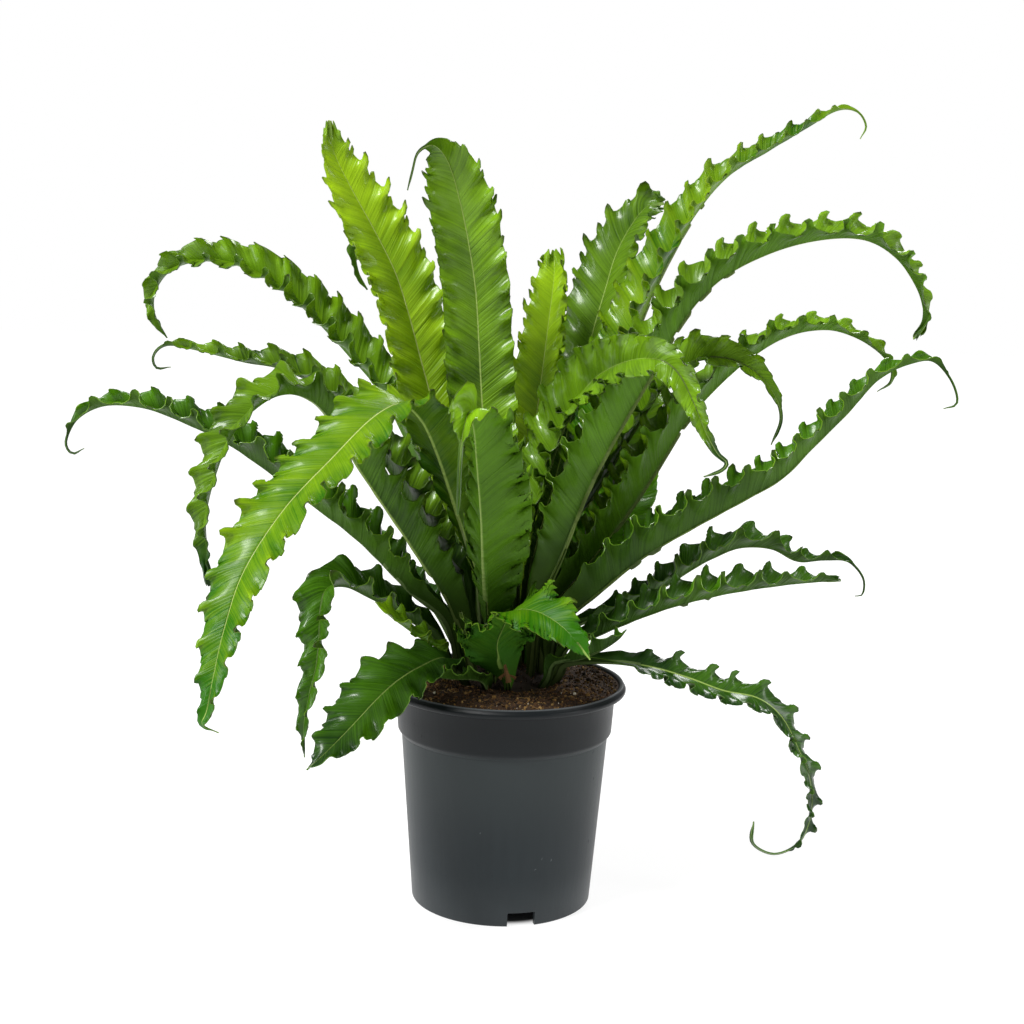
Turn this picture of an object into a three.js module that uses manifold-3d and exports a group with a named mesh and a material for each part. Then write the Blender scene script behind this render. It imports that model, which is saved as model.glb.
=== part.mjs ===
// A wavy bird's nest fern in its nursery pot.
// Millimetres, +Z up. The origin is on the pot's axis, on the surface that the pot stands on.
// -Y is the front. The pot, the soil, the crown and each frond are separate solids.

import * as THREE from 'three';
import { mergeVertices } from 'three/addons/utils/BufferGeometryUtils.js';
import Module from 'manifold-3d';

const wasm = await Module();
wasm.setup();

// Pot
const POT_HEIGHT = 205;
const RIM_RADIUS = 110;
const RIM_DEPTH = 9;
const COLLAR_TOP_RADIUS = 100;
const COLLAR_FOOT_RADIUS = 98;
const COLLAR_FOOT_HEIGHT = 161;
const BODY_TOP_RADIUS = 94.5;
const BODY_TOP_HEIGHT = 156;
const FOOT_RADIUS = 82.5;
const FOOT_RING_WIDTH = 6;
const FOOT_ROUND = 1.4;
const RIM_ROUND = 2.5;
const WALL = 1.8;
const BASE_RAISE = 14;
const POT_SIDES = 40;
const SLOT_WIDTH = 25;
const SLOT_LENGTH = 30;
const SLOT_HEIGHT = 13;
const SLOT_COUNT = 3;
const SLOT_BEARING = -76.6;
const DRAIN_HOLE_RADIUS = 6;
const DRAIN_HOLE_RING = 48;
const DRAIN_HOLE_COUNT = 6;
const DRAIN_HOLE_SIDES = 8;

// Soil and crown
const FIT_GAP = 0.3;
const SOIL_EDGE_HEIGHT = 202.5;
const SOIL_HEAP_HEIGHT = 205;
const SOIL_RADII = [104.5, 93, 74, 60];
const LUMP_LENGTH = 28;
const LUMP_HEIGHT = 0.7;
const LUMP_SLANTS = [0.6, 0.4];
const SMOOTH_EDGE_HEIGHT = 0.5;
const CROWN_RADIUS = 51;
const CROWN_FOOT = 184;
const CROWN_TOP = 219;
const CROWN_SIDES = 20;
const CROWN_EDGE = [6, 13];
const CROWN_SHOULDER = [18, 5];
const SOCKET_ROOM = 3;
const SOCKET_LENGTH = 60;
const SOCKET_DROP = 1;

// Fronds
const BLADE_THICKNESS = 0.8;
const RIB_DEPTH = 3.2;
const RIB_TAPER = 0.8;
const STALK_HALF_WIDTH = 4.5;
const TIP_HALF_WIDTH = 2;
const STALK_FOLD = 58;
const ROOT_HEIGHT = 197;
const COLLAR_HEIGHT = 214;
const STALK_MEETING = 60;
const STALK_FOLD_END = 0.3;
const RIB_FOLD = 14;
const MIDDLE_REACH = 0.55;
const TOOTH_STEP = 13.5;
const TOOTH_LIFT = 1.5;
const TOOTH_LIFT_SHARE = 0.16;
const TOOTH_STRETCH = 1.6;
const TOOTH_LEAST = 0.75;
const TOOTH_MOST = 1.2;
const WAVES_START = 0.16;
const WAVES_GROW = 0.16;
const WAVES_FADE = 0.04;
const EDGE_STATIONS_LEAST = 8;
const FRAME_STEPS = 120;
const LENGTH_STEPS = 240;
const STATIONS_PER_POINT = 1.35;
const STATION_EVENNESS = 0.6;
const TAIL_SPACE = 0.015;

// The repeatable draw's own numbers
const DRAW_SPREAD = 7919;
const DRAW_START = 17;
const DRAW_FACTOR = 1103515245;
const DRAW_STEP = 12345;
const DRAW_RANGE = 2147483648;

// The view from the front that the ribs' points are given in: the eye's place, how far its
// line of sight dips, and how far the upright leans to the right in it.
const EYE = new THREE.Vector3(1.6, -1515, 597);
const EYE_DIP = 8.9;
const EYE_LEAN = 1.5;

// Colours
const POT_FINISH = { color: 0x2f3436, roughness: 0.5, metalness: 0 };
const SOIL_FINISH = { color: 0x3d2415, roughness: 0.95, metalness: 0 };
const CROWN_FINISH = { color: 0x3a2413, roughness: 0.9, metalness: 0 };
const FROND_FINISH = { color: 0x4d8c1a, roughness: 0.38, metalness: 0 };
const YOUNG_FINISH = { color: 0x86b52a, roughness: 0.4, metalness: 0 };
const OLD_FINISH = { color: 0x3d7521, roughness: 0.42, metalness: 0 };

const radians = THREE.MathUtils.degToRad;
const smooth = (t) => THREE.MathUtils.smoothstep(t, 0, 1);
const mix = THREE.MathUtils.lerp;

// Each frond has its bearing round the crown in degrees, counted from +X towards +Y, the
// radius of its root's ring, its greatest half width with its place along the rib, how blunt
// it stays past that place, the place where its thin tail starts, and how far its halves fold
// up from flat. Some also have a half width of their own for the tip, or a twist: how far the
// blade turns about its rib, with the place where the turn is complete.
// The rib's points are [across, up, back]: across and up in the upright plane through the
// pot's foot as the eye sees it, and back the distance behind the pot's axis.
const FRONDS = [
  {
    name: 'frond_left_high', bearing: 158, ring: 28, finish: FROND_FINISH,
    width: 31, widest: 0.42, blunt: 2.6, tail: 0.985, fold: 48, tip: 4, twist: -52,
    rib: [
      [-38, 300, 42], [-76, 395, 84], [-108, 462, 112], [-142, 503, 124], [-178, 541, 132],
      [-211, 569, 138], [-245, 586, 142], [-281, 590, 144], [-308, 581, 144], [-322, 562, 144],
      [-323, 541, 144], [-311, 518, 144],
    ],
  },
  {
    name: 'frond_left_thin', bearing: 176, ring: 27, finish: FROND_FINISH,
    width: 30, widest: 0.36, blunt: 1.5, tail: 0.95, fold: 48, twist: -34,
    rib: [
      [-46, 290, 4], [-88, 368, 5], [-125, 425, 5], [-160, 465, 5], [-200, 488, 6], [-240, 496, 7],
      [-280, 506, 8], [-310, 511, 8], [-323, 502, 8], [-321, 491, 8], [-308, 491, 8],
    ],
  },
  {
    name: 'frond_left_reach', bearing: 188, ring: 35, finish: OLD_FINISH,
    width: 31, widest: 0.42, blunt: 1.6, tail: 0.95, fold: 52, twist: -28,
    rib: [
      [-52, 252, -10], [-85, 281, -16], [-132, 328, -26], [-180, 365, -34], [-222, 397, -42],
      [-256, 420, -48], [-291, 437, -54], [-330, 452, -58], [-368, 455, -62], [-394, 443, -64],
      [-405, 422, -64], [-400, 411, -64], [-389, 415, -64],
    ],
  },
  {
    name: 'frond_left_loop', bearing: 206, ring: 27, finish: FROND_FINISH,
    width: 30, widest: 0.3, blunt: 2.6, tail: 0.97, fold: 36, tip: 6,
    rib: [
      [-47, 265, -26], [-80, 320, -42], [-109, 363, -52], [-135, 402, -59], [-156, 438, -64],
      [-179, 461, -75], [-206, 465, -91], [-232, 450, -109], [-250, 429, -122], [-264, 398, -132],
      [-275, 355, -140], [-274, 318, -146], [-271, 290, -148],
    ],
  },
  {
    name: 'frond_left_bright', bearing: 226, ring: 18, finish: YOUNG_FINISH,
    width: 35, widest: 0.46, blunt: 2.8, tail: 0.99, fold: 12,
    rib: [
      [-16, 270, -20], [-27, 315, -26], [-43, 366, -34], [-58, 410, -44], [-73, 442, -58],
      [-92, 456, -80], [-120, 442, -112], [-158, 404, -152], [-202, 357, -192], [-239, 300, -226],
      [-257, 248, -248], [-267, 205, -262], [-274, 170, -270], [-278, 157, -272], [-263, 149, -272],
    ],
  },
  {
    name: 'frond_left_droop', bearing: 176, ring: 41, finish: OLD_FINISH,
    width: 27, widest: 0.38, blunt: 1.25, tail: 0.99, fold: 36,
    rib: [
      [-66, 240, 2], [-92, 260, -2], [-120, 275, -8], [-144, 286, -16], [-162, 283, -26],
      [-168, 262, -36], [-169, 236, -44], [-172, 210, -50], [-178, 186, -54], [-183, 158, -56],
      [-183, 126, -56],
    ],
  },
  {
    name: 'frond_left_low', bearing: 218, ring: 41, finish: OLD_FINISH,
    width: 32, widest: 0.5, blunt: 2.6, tail: 0.99, fold: 12,
    rib: [
      [-52, 218, -56], [-75, 210, -78], [-96, 197, -97], [-114, 181, -114], [-130, 164, -128],
      [-146, 147, -140], [-163, 130, -152], [-181, 114, -162],
    ],
  },
  {
    name: 'frond_left_young', bearing: 194, ring: 40, finish: YOUNG_FINISH,
    width: 19, widest: 0.75, blunt: 2.2, tail: 0.99, fold: 16,
    rib: [
      [-59, 229, -20], [-75, 239, -33], [-90, 249, -46], [-104, 259, -57], [-117, 271, -64],
    ],
  },
  {
    name: 'frond_soil_short', bearing: 246, ring: 40, finish: OLD_FINISH,
    width: 14, widest: 0.45, blunt: 2.5, tail: 0.99, fold: 20,
    rib: [
      [-28, 200, -58], [-46, 200, -68], [-62, 202, -74], [-77, 205, -78],
    ],
  },
  {
    name: 'frond_upright_left', bearing: 116, ring: 14, finish: YOUNG_FINISH,
    width: 35, widest: 0.5, blunt: 4.4, tail: 0.985, fold: 16, tip: 7,
    rib: [
      [-16, 300, 34], [-40, 385, 56], [-60, 445, 70], [-74, 495, 78], [-86, 540, 82],
      [-99, 580, 86], [-119, 620, 90], [-141, 660, 94], [-156, 692, 96], [-161, 718, 96],
    ],
  },
  {
    name: 'frond_upright_middle', bearing: 94, ring: 8, finish: FROND_FINISH,
    width: 32, widest: 0.5, blunt: 7, tail: 0.92, fold: 14,
    rib: [
      [-6, 310, 24], [-12, 390, 40], [-17, 455, 50], [-20, 510, 56], [-23, 560, 60], [-29, 602, 62],
      [-37, 642, 62], [-48, 680, 58], [-62, 698, 48], [-77, 692, 38], [-83, 673, 32],
      [-87, 656, 30],
    ],
  },
  {
    name: 'frond_upright_young', bearing: 66, ring: 17, finish: YOUNG_FINISH,
    width: 27, widest: 0.62, blunt: 2.2, tail: 0.997, fold: 20, tip: 12,
    rib: [
      [14, 310, 46], [28, 400, 76], [38, 475, 96], [45, 530, 108], [50, 570, 116], [51, 598, 120],
    ],
  },
  {
    name: 'frond_upright_right', bearing: 54, ring: 25, finish: FROND_FINISH,
    width: 35, widest: 0.58, blunt: 4, tail: 0.995, fold: 16, tip: 11,
    rib: [
      [29, 300, 58], [53, 390, 98], [73, 470, 124], [88, 528, 140], [98, 562, 149], [108, 595, 156],
      [122, 622, 159], [137, 640, 157], [152, 642, 149],
    ],
  },
  {
    name: 'frond_right_tall', bearing: 34, ring: 20, finish: YOUNG_FINISH,
    width: 36, widest: 0.5, blunt: 1.2, tail: 0.96, fold: 42,
    rib: [
      [37, 290, 36], [76, 380, 62], [108, 470, 81], [136, 545, 93], [161, 597, 103],
      [187, 639, 111], [215, 670, 118], [250, 692, 125], [283, 712, 132], [314, 730, 138],
      [333, 729, 141], [341, 716, 142], [336, 704, 142],
    ],
  },
  {
    name: 'frond_right_high', bearing: 330, ring: 21, finish: FROND_FINISH,
    width: 39, widest: 0.36, blunt: 1.5, tail: 0.99, fold: 48, tip: 5, twist: 50,
    rib: [
      [37, 262, -21], [60, 318, -29], [86, 382, -36], [115, 437, -39], [146, 490, -40],
      [174, 537, -40], [208, 573, -40], [254, 597, -42], [300, 609, -42], [340, 609, -42],
      [370, 592, -40], [390, 562, -38], [395, 536, -38], [387, 520, -38],
    ],
  },
  {
    name: 'frond_right_arch', bearing: 349, ring: 33, finish: FROND_FINISH,
    width: 38, widest: 0.42, blunt: 1.1, tail: 0.98, fold: 48, twist: 30,
    rib: [
      [45, 256, -6], [74, 295, -10], [108, 338, -9], [144, 391, -4], [173, 437, 5], [206, 474, 14],
      [239, 502, 20], [272, 520, 24], [308, 525, 24], [340, 514, 22], [362, 495, 20],
      [364, 478, 18], [352, 468, 16],
    ],
  },
  {
    name: 'frond_right_reach', bearing: 338, ring: 34, finish: OLD_FINISH,
    width: 35, widest: 0.32, blunt: 1.35, tail: 0.93, fold: 52, twist: 26,
    rib: [
      [56, 246, -20], [94, 280, -28], [136, 313, -36], [182, 340, -44], [228, 365, -52],
      [264, 386, -56], [293, 415, -60], [325, 447, -62], [353, 478, -64], [379, 492, -66],
      [403, 496, -67], [420, 479, -68], [426, 458, -68], [414, 452, -68],
    ],
  },
  {
    name: 'frond_middle_fold', bearing: 24, ring: 10, finish: FROND_FINISH,
    width: 34, widest: 0.46, blunt: 1.5, tail: 0.94, fold: 30,
    rib: [
      [18, 300, 0], [31, 352, 3], [46, 400, 6], [63, 444, 3], [83, 474, -17], [102, 489, -56],
      [127, 498, -89], [150, 497, -107], [167, 484, -116], [181, 457, -122], [192, 430, -126],
      [203, 410, -128], [212, 401, -129], [206, 393, -130], [190, 388, -130],
    ],
  },
  {
    name: 'frond_right_fold', bearing: 8, ring: 25, finish: FROND_FINISH,
    width: 29, widest: 0.6, blunt: 1.5, tail: 0.93, fold: 33, twist: 24, turned: 0.8,
    rib: [
      [44, 300, 14], [90, 375, 21], [128, 437, 20], [156, 478, 12], [182, 497, 0], [212, 498, -12],
      [238, 486, -20], [256, 464, -25], [262, 442, -27], [253, 418, -27],
    ],
  },
  {
    name: 'frond_right_low_upper', bearing: 10, ring: 37, finish: OLD_FINISH,
    width: 23, widest: 0.6, blunt: 1.0, tail: 0.9, fold: 46,
    rib: [
      [62, 242, 8], [92, 257, 12], [124, 270, 14], [156, 286, 14], [190, 307, 14], [224, 321, 14],
      [254, 320, 14], [277, 309, 12], [302, 310, 10], [324, 309, 8], [338, 294, 6], [338, 279, 6],
      [331, 277, 6],
    ],
  },
  {
    name: 'frond_right_low', bearing: 350, ring: 41, finish: OLD_FINISH,
    width: 24, widest: 0.4, blunt: 3, tail: 0.99, fold: 42, tip: 6,
    rib: [
      [62, 226, -18], [88, 238, -23], [122, 252, -28], [152, 263, -32], [184, 272, -36],
      [222, 280, -39], [270, 287, -42], [315, 291, -44],
    ],
  },
  {
    name: 'frond_right_droop', bearing: 334, ring: 41, finish: OLD_FINISH,
    width: 16, widest: 0.3, blunt: 2.2, tail: 0.87, fold: 12, twist: 58, turned: 0.3,
    rib: [
      [62, 212, -22], [100, 215, -28], [140, 210, -30], [175, 200, -31], [208, 188, -32],
      [240, 181, -32], [262, 164, -32], [277, 136, -32], [289, 104, -32], [289, 70, -32],
      [278, 46, -32], [256, 36, -32], [236, 46, -32], [237, 66, -32],
    ],
  },
  {
    name: 'frond_front_bright', bearing: 272, ring: 37, finish: YOUNG_FINISH,
    width: 35, widest: 0.38, blunt: 1.7, tail: 0.99, fold: 6, twist: 75,
    rib: [
      [-3, 228, -54], [1, 246, -66], [12, 262, -84], [34, 262, -104], [60, 246, -120],
      [84, 217, -132],
    ],
  },
  {
    name: 'frond_front_coiled', bearing: 250, ring: 28, finish: FROND_FINISH,
    width: 42, widest: 0.5, blunt: 2.6, tail: 0.84, fold: 40, twist: -32,
    rib: [
      [-11, 250, -50], [-14, 300, -73], [-16, 350, -92], [-20, 400, -108], [-23, 432, -119],
      [-29, 448, -130], [-35, 430, -140], [-38, 400, -144], [-39, 370, -145], [-40, 352, -145],
    ],
  },
  {
    name: 'frond_right_short', bearing: 318, ring: 40, finish: OLD_FINISH,
    width: 15, widest: 0.75, blunt: 2, tail: 0.99, fold: 30, tip: 4,
    rib: [
      [52, 214, -38], [74, 218, -48], [94, 226, -56], [110, 236, -62], [118, 245, -64],
    ],
  },
  {
    name: 'frond_back_left_hook', bearing: 136, ring: 23, finish: FROND_FINISH,
    width: 15, widest: 0.45, blunt: 2.6, tail: 0.97, fold: 34, tip: 4,
    rib: [
      [-22, 310, 66], [-34, 400, 108], [-56, 470, 138], [-88, 540, 157], [-112, 590, 170],
      [-126, 610, 180], [-135, 598, 188], [-132, 578, 192], [-124, 563, 194],
    ],
  },
  {
    name: 'frond_back_left_high', bearing: 120, ring: 31, finish: FROND_FINISH,
    width: 28, widest: 0.45, blunt: 1.3, tail: 0.96, fold: 30,
    rib: [
      [-34, 310, 92], [-56, 395, 150], [-70, 455, 192], [-80, 482, 230], [-86, 476, 260],
      [-90, 440, 276],
    ],
  },
  {
    name: 'frond_back_left_low', bearing: 148, ring: 38, finish: OLD_FINISH,
    width: 18, widest: 0.4, blunt: 1.2, tail: 0.97, fold: 34,
    rib: [
      [-60, 262, 40], [-92, 300, 72], [-128, 342, 106], [-160, 372, 138], [-188, 396, 166],
      [-208, 402, 192],
    ],
  },
  {
    name: 'frond_back_middle', bearing: 88, ring: 28, finish: FROND_FINISH,
    width: 28, widest: 0.5, blunt: 1.5, tail: 0.96, fold: 24,
    rib: [
      [6, 300, 84], [12, 370, 130], [16, 420, 180], [18, 440, 228], [18, 420, 264], [18, 380, 280],
    ],
  },
  {
    name: 'frond_back_right_high', bearing: 50, ring: 32, finish: FROND_FINISH,
    width: 27, widest: 0.6, blunt: 2.2, tail: 0.97, fold: 22, tip: 4, twist: 26, turned: 0.9,
    rib: [
      [44, 296, 66], [76, 360, 104], [106, 408, 128], [132, 446, 148], [149, 466, 168],
      [158, 462, 188],
    ],
  },
  {
    name: 'frond_back_right_low', bearing: 32, ring: 35, finish: OLD_FINISH,
    width: 31, widest: 0.62, blunt: 2.5, tail: 0.98, fold: 20, tip: 4, twist: 42, turned: 0.6,
    rib: [
      [58, 276, 36], [84, 312, 56], [106, 346, 72], [126, 378, 84], [137, 404, 92], [139, 420, 96],
    ],
  },
  {
    name: 'frond_back_low', bearing: 106, ring: 39, finish: OLD_FINISH,
    width: 24, widest: 0.42, blunt: 1.3, tail: 0.97, fold: 30,
    rib: [
      [-14, 258, 88], [-22, 286, 134], [-28, 296, 182], [-30, 278, 226], [-28, 238, 256],
    ],
  },
];

// A repeatable draw between 0 and 1.
function makeDraw(seed) {
  let state = seed * DRAW_SPREAD + DRAW_START;
  return () => {
    state = (state * DRAW_FACTOR + DRAW_STEP) % DRAW_RANGE;
    return state / DRAW_RANGE;
  };
}

// The place of a point that the eye sees at a spot of the upright plane, at a distance back.
function seenAt(across, up, back) {
  const dip = radians(EYE_DIP);
  const lean = radians(EYE_LEAN);
  const right = new THREE.Vector3(1, 0, 0);
  const upward = new THREE.Vector3(0, Math.sin(dip), Math.cos(dip));
  const spot = right.clone().multiplyScalar(across * Math.cos(lean) - up * Math.sin(lean));
  spot.addScaledVector(upward, across * Math.sin(lean) + up * Math.cos(lean));
  const reach = (back - EYE.y) / (spot.y - EYE.y);
  return EYE.clone().lerp(spot, reach);
}

// Closed solid of a thin sheet: its two faces are split alike and joined round the border.
function thicken(points, triangles, above, below) {
  const normals = points.map(() => new THREE.Vector3());
  const face = new THREE.Triangle();
  const facing = new THREE.Vector3();
  for (const [a, b, c] of triangles) {
    face.set(points[a], points[b], points[c]);
    face.getNormal(facing).multiplyScalar(face.getArea());
    normals[a].add(facing);
    normals[b].add(facing);
    normals[c].add(facing);
  }
  const upper = points.map((p, i) => p.clone().addScaledVector(normals[i].normalize(), above[i]));
  const lower = points.map((p, i) => p.clone().addScaledVector(normals[i], -below[i]));
  const count = points.length;
  const index = [];
  const borders = new Map();
  for (const [a, b, c] of triangles) {
    index.push(a, b, c, count + a, count + c, count + b);
    for (const [from, to] of [[a, b], [b, c], [c, a]]) {
      const back = `${to},${from}`;
      if (borders.has(back)) {
        borders.delete(back);
      } else {
        borders.set(`${from},${to}`, [from, to]);
      }
    }
  }
  for (const [from, to] of borders.values()) {
    index.push(from, count + from, to, to, count + from, count + to);
  }
  const geometry = new THREE.BufferGeometry().setFromPoints([...upper, ...lower]);
  geometry.setIndex(index);
  return geometry;
}

// Turns a closed geometry into a solid that can be cut and joined.
function toSolid(geometry) {
  const bare = geometry.clone();
  bare.deleteAttribute('normal');
  bare.deleteAttribute('uv');
  const merged = mergeVertices(bare, 1e-4);
  const vertProperties = new Float32Array(merged.attributes.position.array);
  const triVerts = new Uint32Array(merged.index.array);
  return new wasm.Manifold(new wasm.Mesh({ numProp: 3, vertProperties, triVerts }));
}

// Turns a cut solid back into a geometry.
function toGeometry(solid) {
  const mesh = solid.getMesh();
  const geometry = new THREE.BufferGeometry();
  geometry.setAttribute('position', new THREE.BufferAttribute(mesh.vertProperties, 3));
  geometry.setIndex(new THREE.BufferAttribute(mesh.triVerts, 1));
  return geometry;
}

// A named mesh with a finish of its own.
function makePiece(name, geometry, finish) {
  geometry.computeVertexNormals();
  const piece = new THREE.Mesh(geometry, new THREE.MeshStandardMaterial(finish));
  piece.name = name;
  return piece;
}

// A solid turned round the pot's axis from points of its radius and height.
function turned(profile, sides) {
  const points = profile.map(([radius, height]) => new THREE.Vector2(radius, height));
  return new THREE.LatheGeometry(points, sides).rotateX(Math.PI / 2);
}

function makePot() {
  const innerCollar = COLLAR_FOOT_RADIUS - WALL;
  const innerBody = BODY_TOP_RADIUS - WALL;
  const ringInside = FOOT_RADIUS - FOOT_RING_WIDTH;
  const rimFoot = POT_HEIGHT - RIM_DEPTH;
  const profile = [
    [0, BASE_RAISE],
    [ringInside - 1, BASE_RAISE],
    [ringInside, 0],
    [FOOT_RADIUS - FOOT_ROUND, 0],
    [FOOT_RADIUS, FOOT_ROUND],
    [BODY_TOP_RADIUS, BODY_TOP_HEIGHT],
    [COLLAR_FOOT_RADIUS, COLLAR_FOOT_HEIGHT],
    [COLLAR_TOP_RADIUS, rimFoot],
    [RIM_RADIUS - RIM_ROUND, rimFoot + RIM_ROUND],
    [RIM_RADIUS, POT_HEIGHT - RIM_ROUND],
    [RIM_RADIUS - RIM_ROUND, POT_HEIGHT],
    [COLLAR_TOP_RADIUS - WALL, rimFoot],
    [innerCollar, COLLAR_FOOT_HEIGHT],
    [innerBody, BODY_TOP_HEIGHT],
    [FOOT_RADIUS - WALL, BASE_RAISE + WALL],
    [0, BASE_RAISE + WALL],
  ];
  let pot = toSolid(turned(profile, POT_SIDES));
  for (let i = 0; i < SLOT_COUNT; i += 1) {
    const slot = new THREE.BoxGeometry(SLOT_LENGTH, SLOT_WIDTH, 2 * SLOT_HEIGHT);
    slot.translate(FOOT_RADIUS, 0, 0);
    slot.rotateZ(radians(SLOT_BEARING + (360 * i) / SLOT_COUNT));
    pot = pot.subtract(toSolid(slot));
  }
  const [radius, depth, sides] = [DRAIN_HOLE_RADIUS, 3 * WALL, DRAIN_HOLE_SIDES];
  for (let i = 0; i < DRAIN_HOLE_COUNT; i += 1) {
    const hole = new THREE.CylinderGeometry(radius, radius, depth, sides);
    hole.rotateX(Math.PI / 2);
    hole.translate(DRAIN_HOLE_RING, 0, BASE_RAISE + WALL / 2);
    hole.rotateZ(radians(SLOT_BEARING + (360 * (i + 0.5)) / DRAIN_HOLE_COUNT));
    pot = pot.subtract(toSolid(hole));
  }
  return makePiece('pot', toGeometry(pot), POT_FINISH);
}

// Raises and sinks the points of an upper surface in low lumps.
function roughen(geometry, lowest) {
  const place = geometry.attributes.position;
  for (let i = 0; i < place.count; i += 1) {
    const x = place.getX(i);
    const y = place.getY(i);
    const z = place.getZ(i);
    if (z > lowest) {
      const first = Math.sin((2 * Math.PI * (x + LUMP_SLANTS[0] * y)) / LUMP_LENGTH);
      const second = Math.sin((2 * Math.PI * (y - LUMP_SLANTS[1] * x)) / LUMP_LENGTH);
      place.setZ(i, z + LUMP_HEIGHT * (first + second));
    }
  }
  return geometry;
}

function makeSoil() {
  const slope = (BODY_TOP_RADIUS - FOOT_RADIUS) / BODY_TOP_HEIGHT;
  const bottom = BASE_RAISE + WALL + FIT_GAP;
  const inset = WALL + 2 * FIT_GAP;
  const recess = CROWN_RADIUS + FIT_GAP;
  const [edge, shoulder, heap, flat] = SOIL_RADII;
  const profile = [
    [0, bottom],
    [FOOT_RADIUS - inset, bottom + slope],
    [BODY_TOP_RADIUS - inset, BODY_TOP_HEIGHT],
    [COLLAR_FOOT_RADIUS - inset, COLLAR_FOOT_HEIGHT],
    [COLLAR_TOP_RADIUS - inset - 2 * FIT_GAP, POT_HEIGHT - RIM_DEPTH],
    [edge, SOIL_EDGE_HEIGHT],
    [shoulder, SOIL_EDGE_HEIGHT + 1],
    [heap, SOIL_HEAP_HEIGHT],
    [flat, SOIL_HEAP_HEIGHT],
    [recess, SOIL_HEAP_HEIGHT],
    [recess, CROWN_FOOT - FIT_GAP],
    [0, CROWN_FOOT - FIT_GAP],
  ];
  const soil = roughen(turned(profile, POT_SIDES), SOIL_EDGE_HEIGHT + SMOOTH_EDGE_HEIGHT);
  return makePiece('soil', toGeometry(toSolid(soil)), SOIL_FINISH);
}

// The half width of a blade at a place along its rib, from 0 at the root to 1 at the tip.
function halfWidthAt(frond, s) {
  if (s < frond.widest) {
    return mix(STALK_HALF_WIDTH, frond.width, smooth(s / frond.widest));
  }
  const past = Math.min(1, (s - frond.widest) / (frond.tail - frond.widest));
  return mix(frond.width, frond.tip ?? TIP_HALF_WIDTH, past ** frond.blunt);
}

// The rib's line, with the blade's frame carried along it without turning.
class Rib {
  constructor(frond) {
    const bearing = radians(frond.bearing);
    const out = new THREE.Vector3(Math.cos(bearing), Math.sin(bearing), 0);
    const root = out.clone().multiplyScalar(frond.ring).setZ(ROOT_HEIGHT);
    const spread = 1 + (COLLAR_HEIGHT - ROOT_HEIGHT) / STALK_MEETING;
    const collar = out.clone().multiplyScalar(frond.ring * spread).setZ(COLLAR_HEIGHT);
    const points = [root, collar, ...frond.rib.map(([across, up, back]) => seenAt(across, up, back))];
    this.curve = new THREE.CatmullRomCurve3(points, false, 'catmullrom');
    this.curve.arcLengthDivisions = LENGTH_STEPS;
    this.length = this.curve.getLength();
    this.pointCount = points.length;
    this.twist = radians(frond.twist ?? 0);
    this.turned = frond.turned ?? 1;
    this.sides = [];
    const side = new THREE.Vector3(-Math.sin(bearing), Math.cos(bearing), 0);
    for (let i = 0; i <= FRAME_STEPS; i += 1) {
      const along = this.curve.getTangentAt(i / FRAME_STEPS);
      side.addScaledVector(along, -side.dot(along)).normalize();
      this.sides.push(side.clone());
    }
  }

  frameAt(s) {
    const step = Math.min(FRAME_STEPS - 1, Math.floor(s * FRAME_STEPS));
    const along = this.curve.getTangentAt(s);
    const side = this.sides[step].clone().lerp(this.sides[step + 1], s * FRAME_STEPS - step);
    side.addScaledVector(along, -side.dot(along)).normalize();
    side.applyAxisAngle(along, this.twist * smooth(s / this.turned));
    return { centre: this.curve.getPointAt(s), side, facing: along.clone().cross(side) };
  }
}

// A point of the blade: half is -1 or 1, reach runs from 0 at the rib to 1 at the edge,
// wave lifts it out of the half blade and stretch lengthens it.
function bladePoint(frond, rib, s, half, reach, wave, stretch) {
  const { centre, side, facing } = rib.frameAt(s);
  const edgeFold = mix(STALK_FOLD, frond.fold, smooth(s / STALK_FOLD_END));
  const fold = radians(edgeFold + RIB_FOLD * (1 - reach));
  const span = (halfWidthAt(frond, s) + stretch) * reach;
  const point = centre.clone();
  point.addScaledVector(side, half * (span * Math.cos(fold) - wave * Math.sin(fold)));
  point.addScaledVector(facing, span * Math.sin(fold) + wave * Math.cos(fold));
  return point;
}

// Places along the rib: partly even by its points, so that tight bends get more of them, and
// partly even by its length, so that no stretch gets too few.
function ribStations(rib) {
  const count = Math.round(STATIONS_PER_POINT * (rib.pointCount - 1));
  const lengths = rib.curve.getLengths();
  return Array.from({ length: count + 1 }, (_, i) => {
    const spot = (i / count) * (lengths.length - 1);
    const low = Math.min(lengths.length - 2, Math.floor(spot));
    const byPoints = mix(lengths[low], lengths[low + 1], spot - low) / rib.length;
    return mix(byPoints, i / count, STATION_EVENNESS);
  });
}

// Places along an edge: one for each crest and trough of its waves, then the tail's own.
function edgeStations(frond, rib, stations) {
  const fitting = Math.round((rib.length * frond.tail) / TOOTH_STEP);
  const count = Math.max(EDGE_STATIONS_LEAST, fitting);
  const toothed = Array.from({ length: count + 1 }, (_, i) => (i / count) * frond.tail);
  return [...toothed, ...stations.filter((s) => s > frond.tail + TAIL_SPACE)];
}

// Triangles between two lines of points that run the same way, with their own places each.
function bridge(left, leftPlaces, right, rightPlaces) {
  const triangles = [];
  let i = 0;
  let j = 0;
  while (i < left.length - 1 || j < right.length - 1) {
    const leftEnded = i === left.length - 1;
    const rightEnded = j === right.length - 1;
    if (rightEnded || (!leftEnded && leftPlaces[i + 1] <= rightPlaces[j + 1])) {
      triangles.push([left[i], right[j], left[i + 1]]);
      i += 1;
    } else {
      triangles.push([left[i], right[j], right[j + 1]]);
      j += 1;
    }
  }
  return triangles;
}

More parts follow.
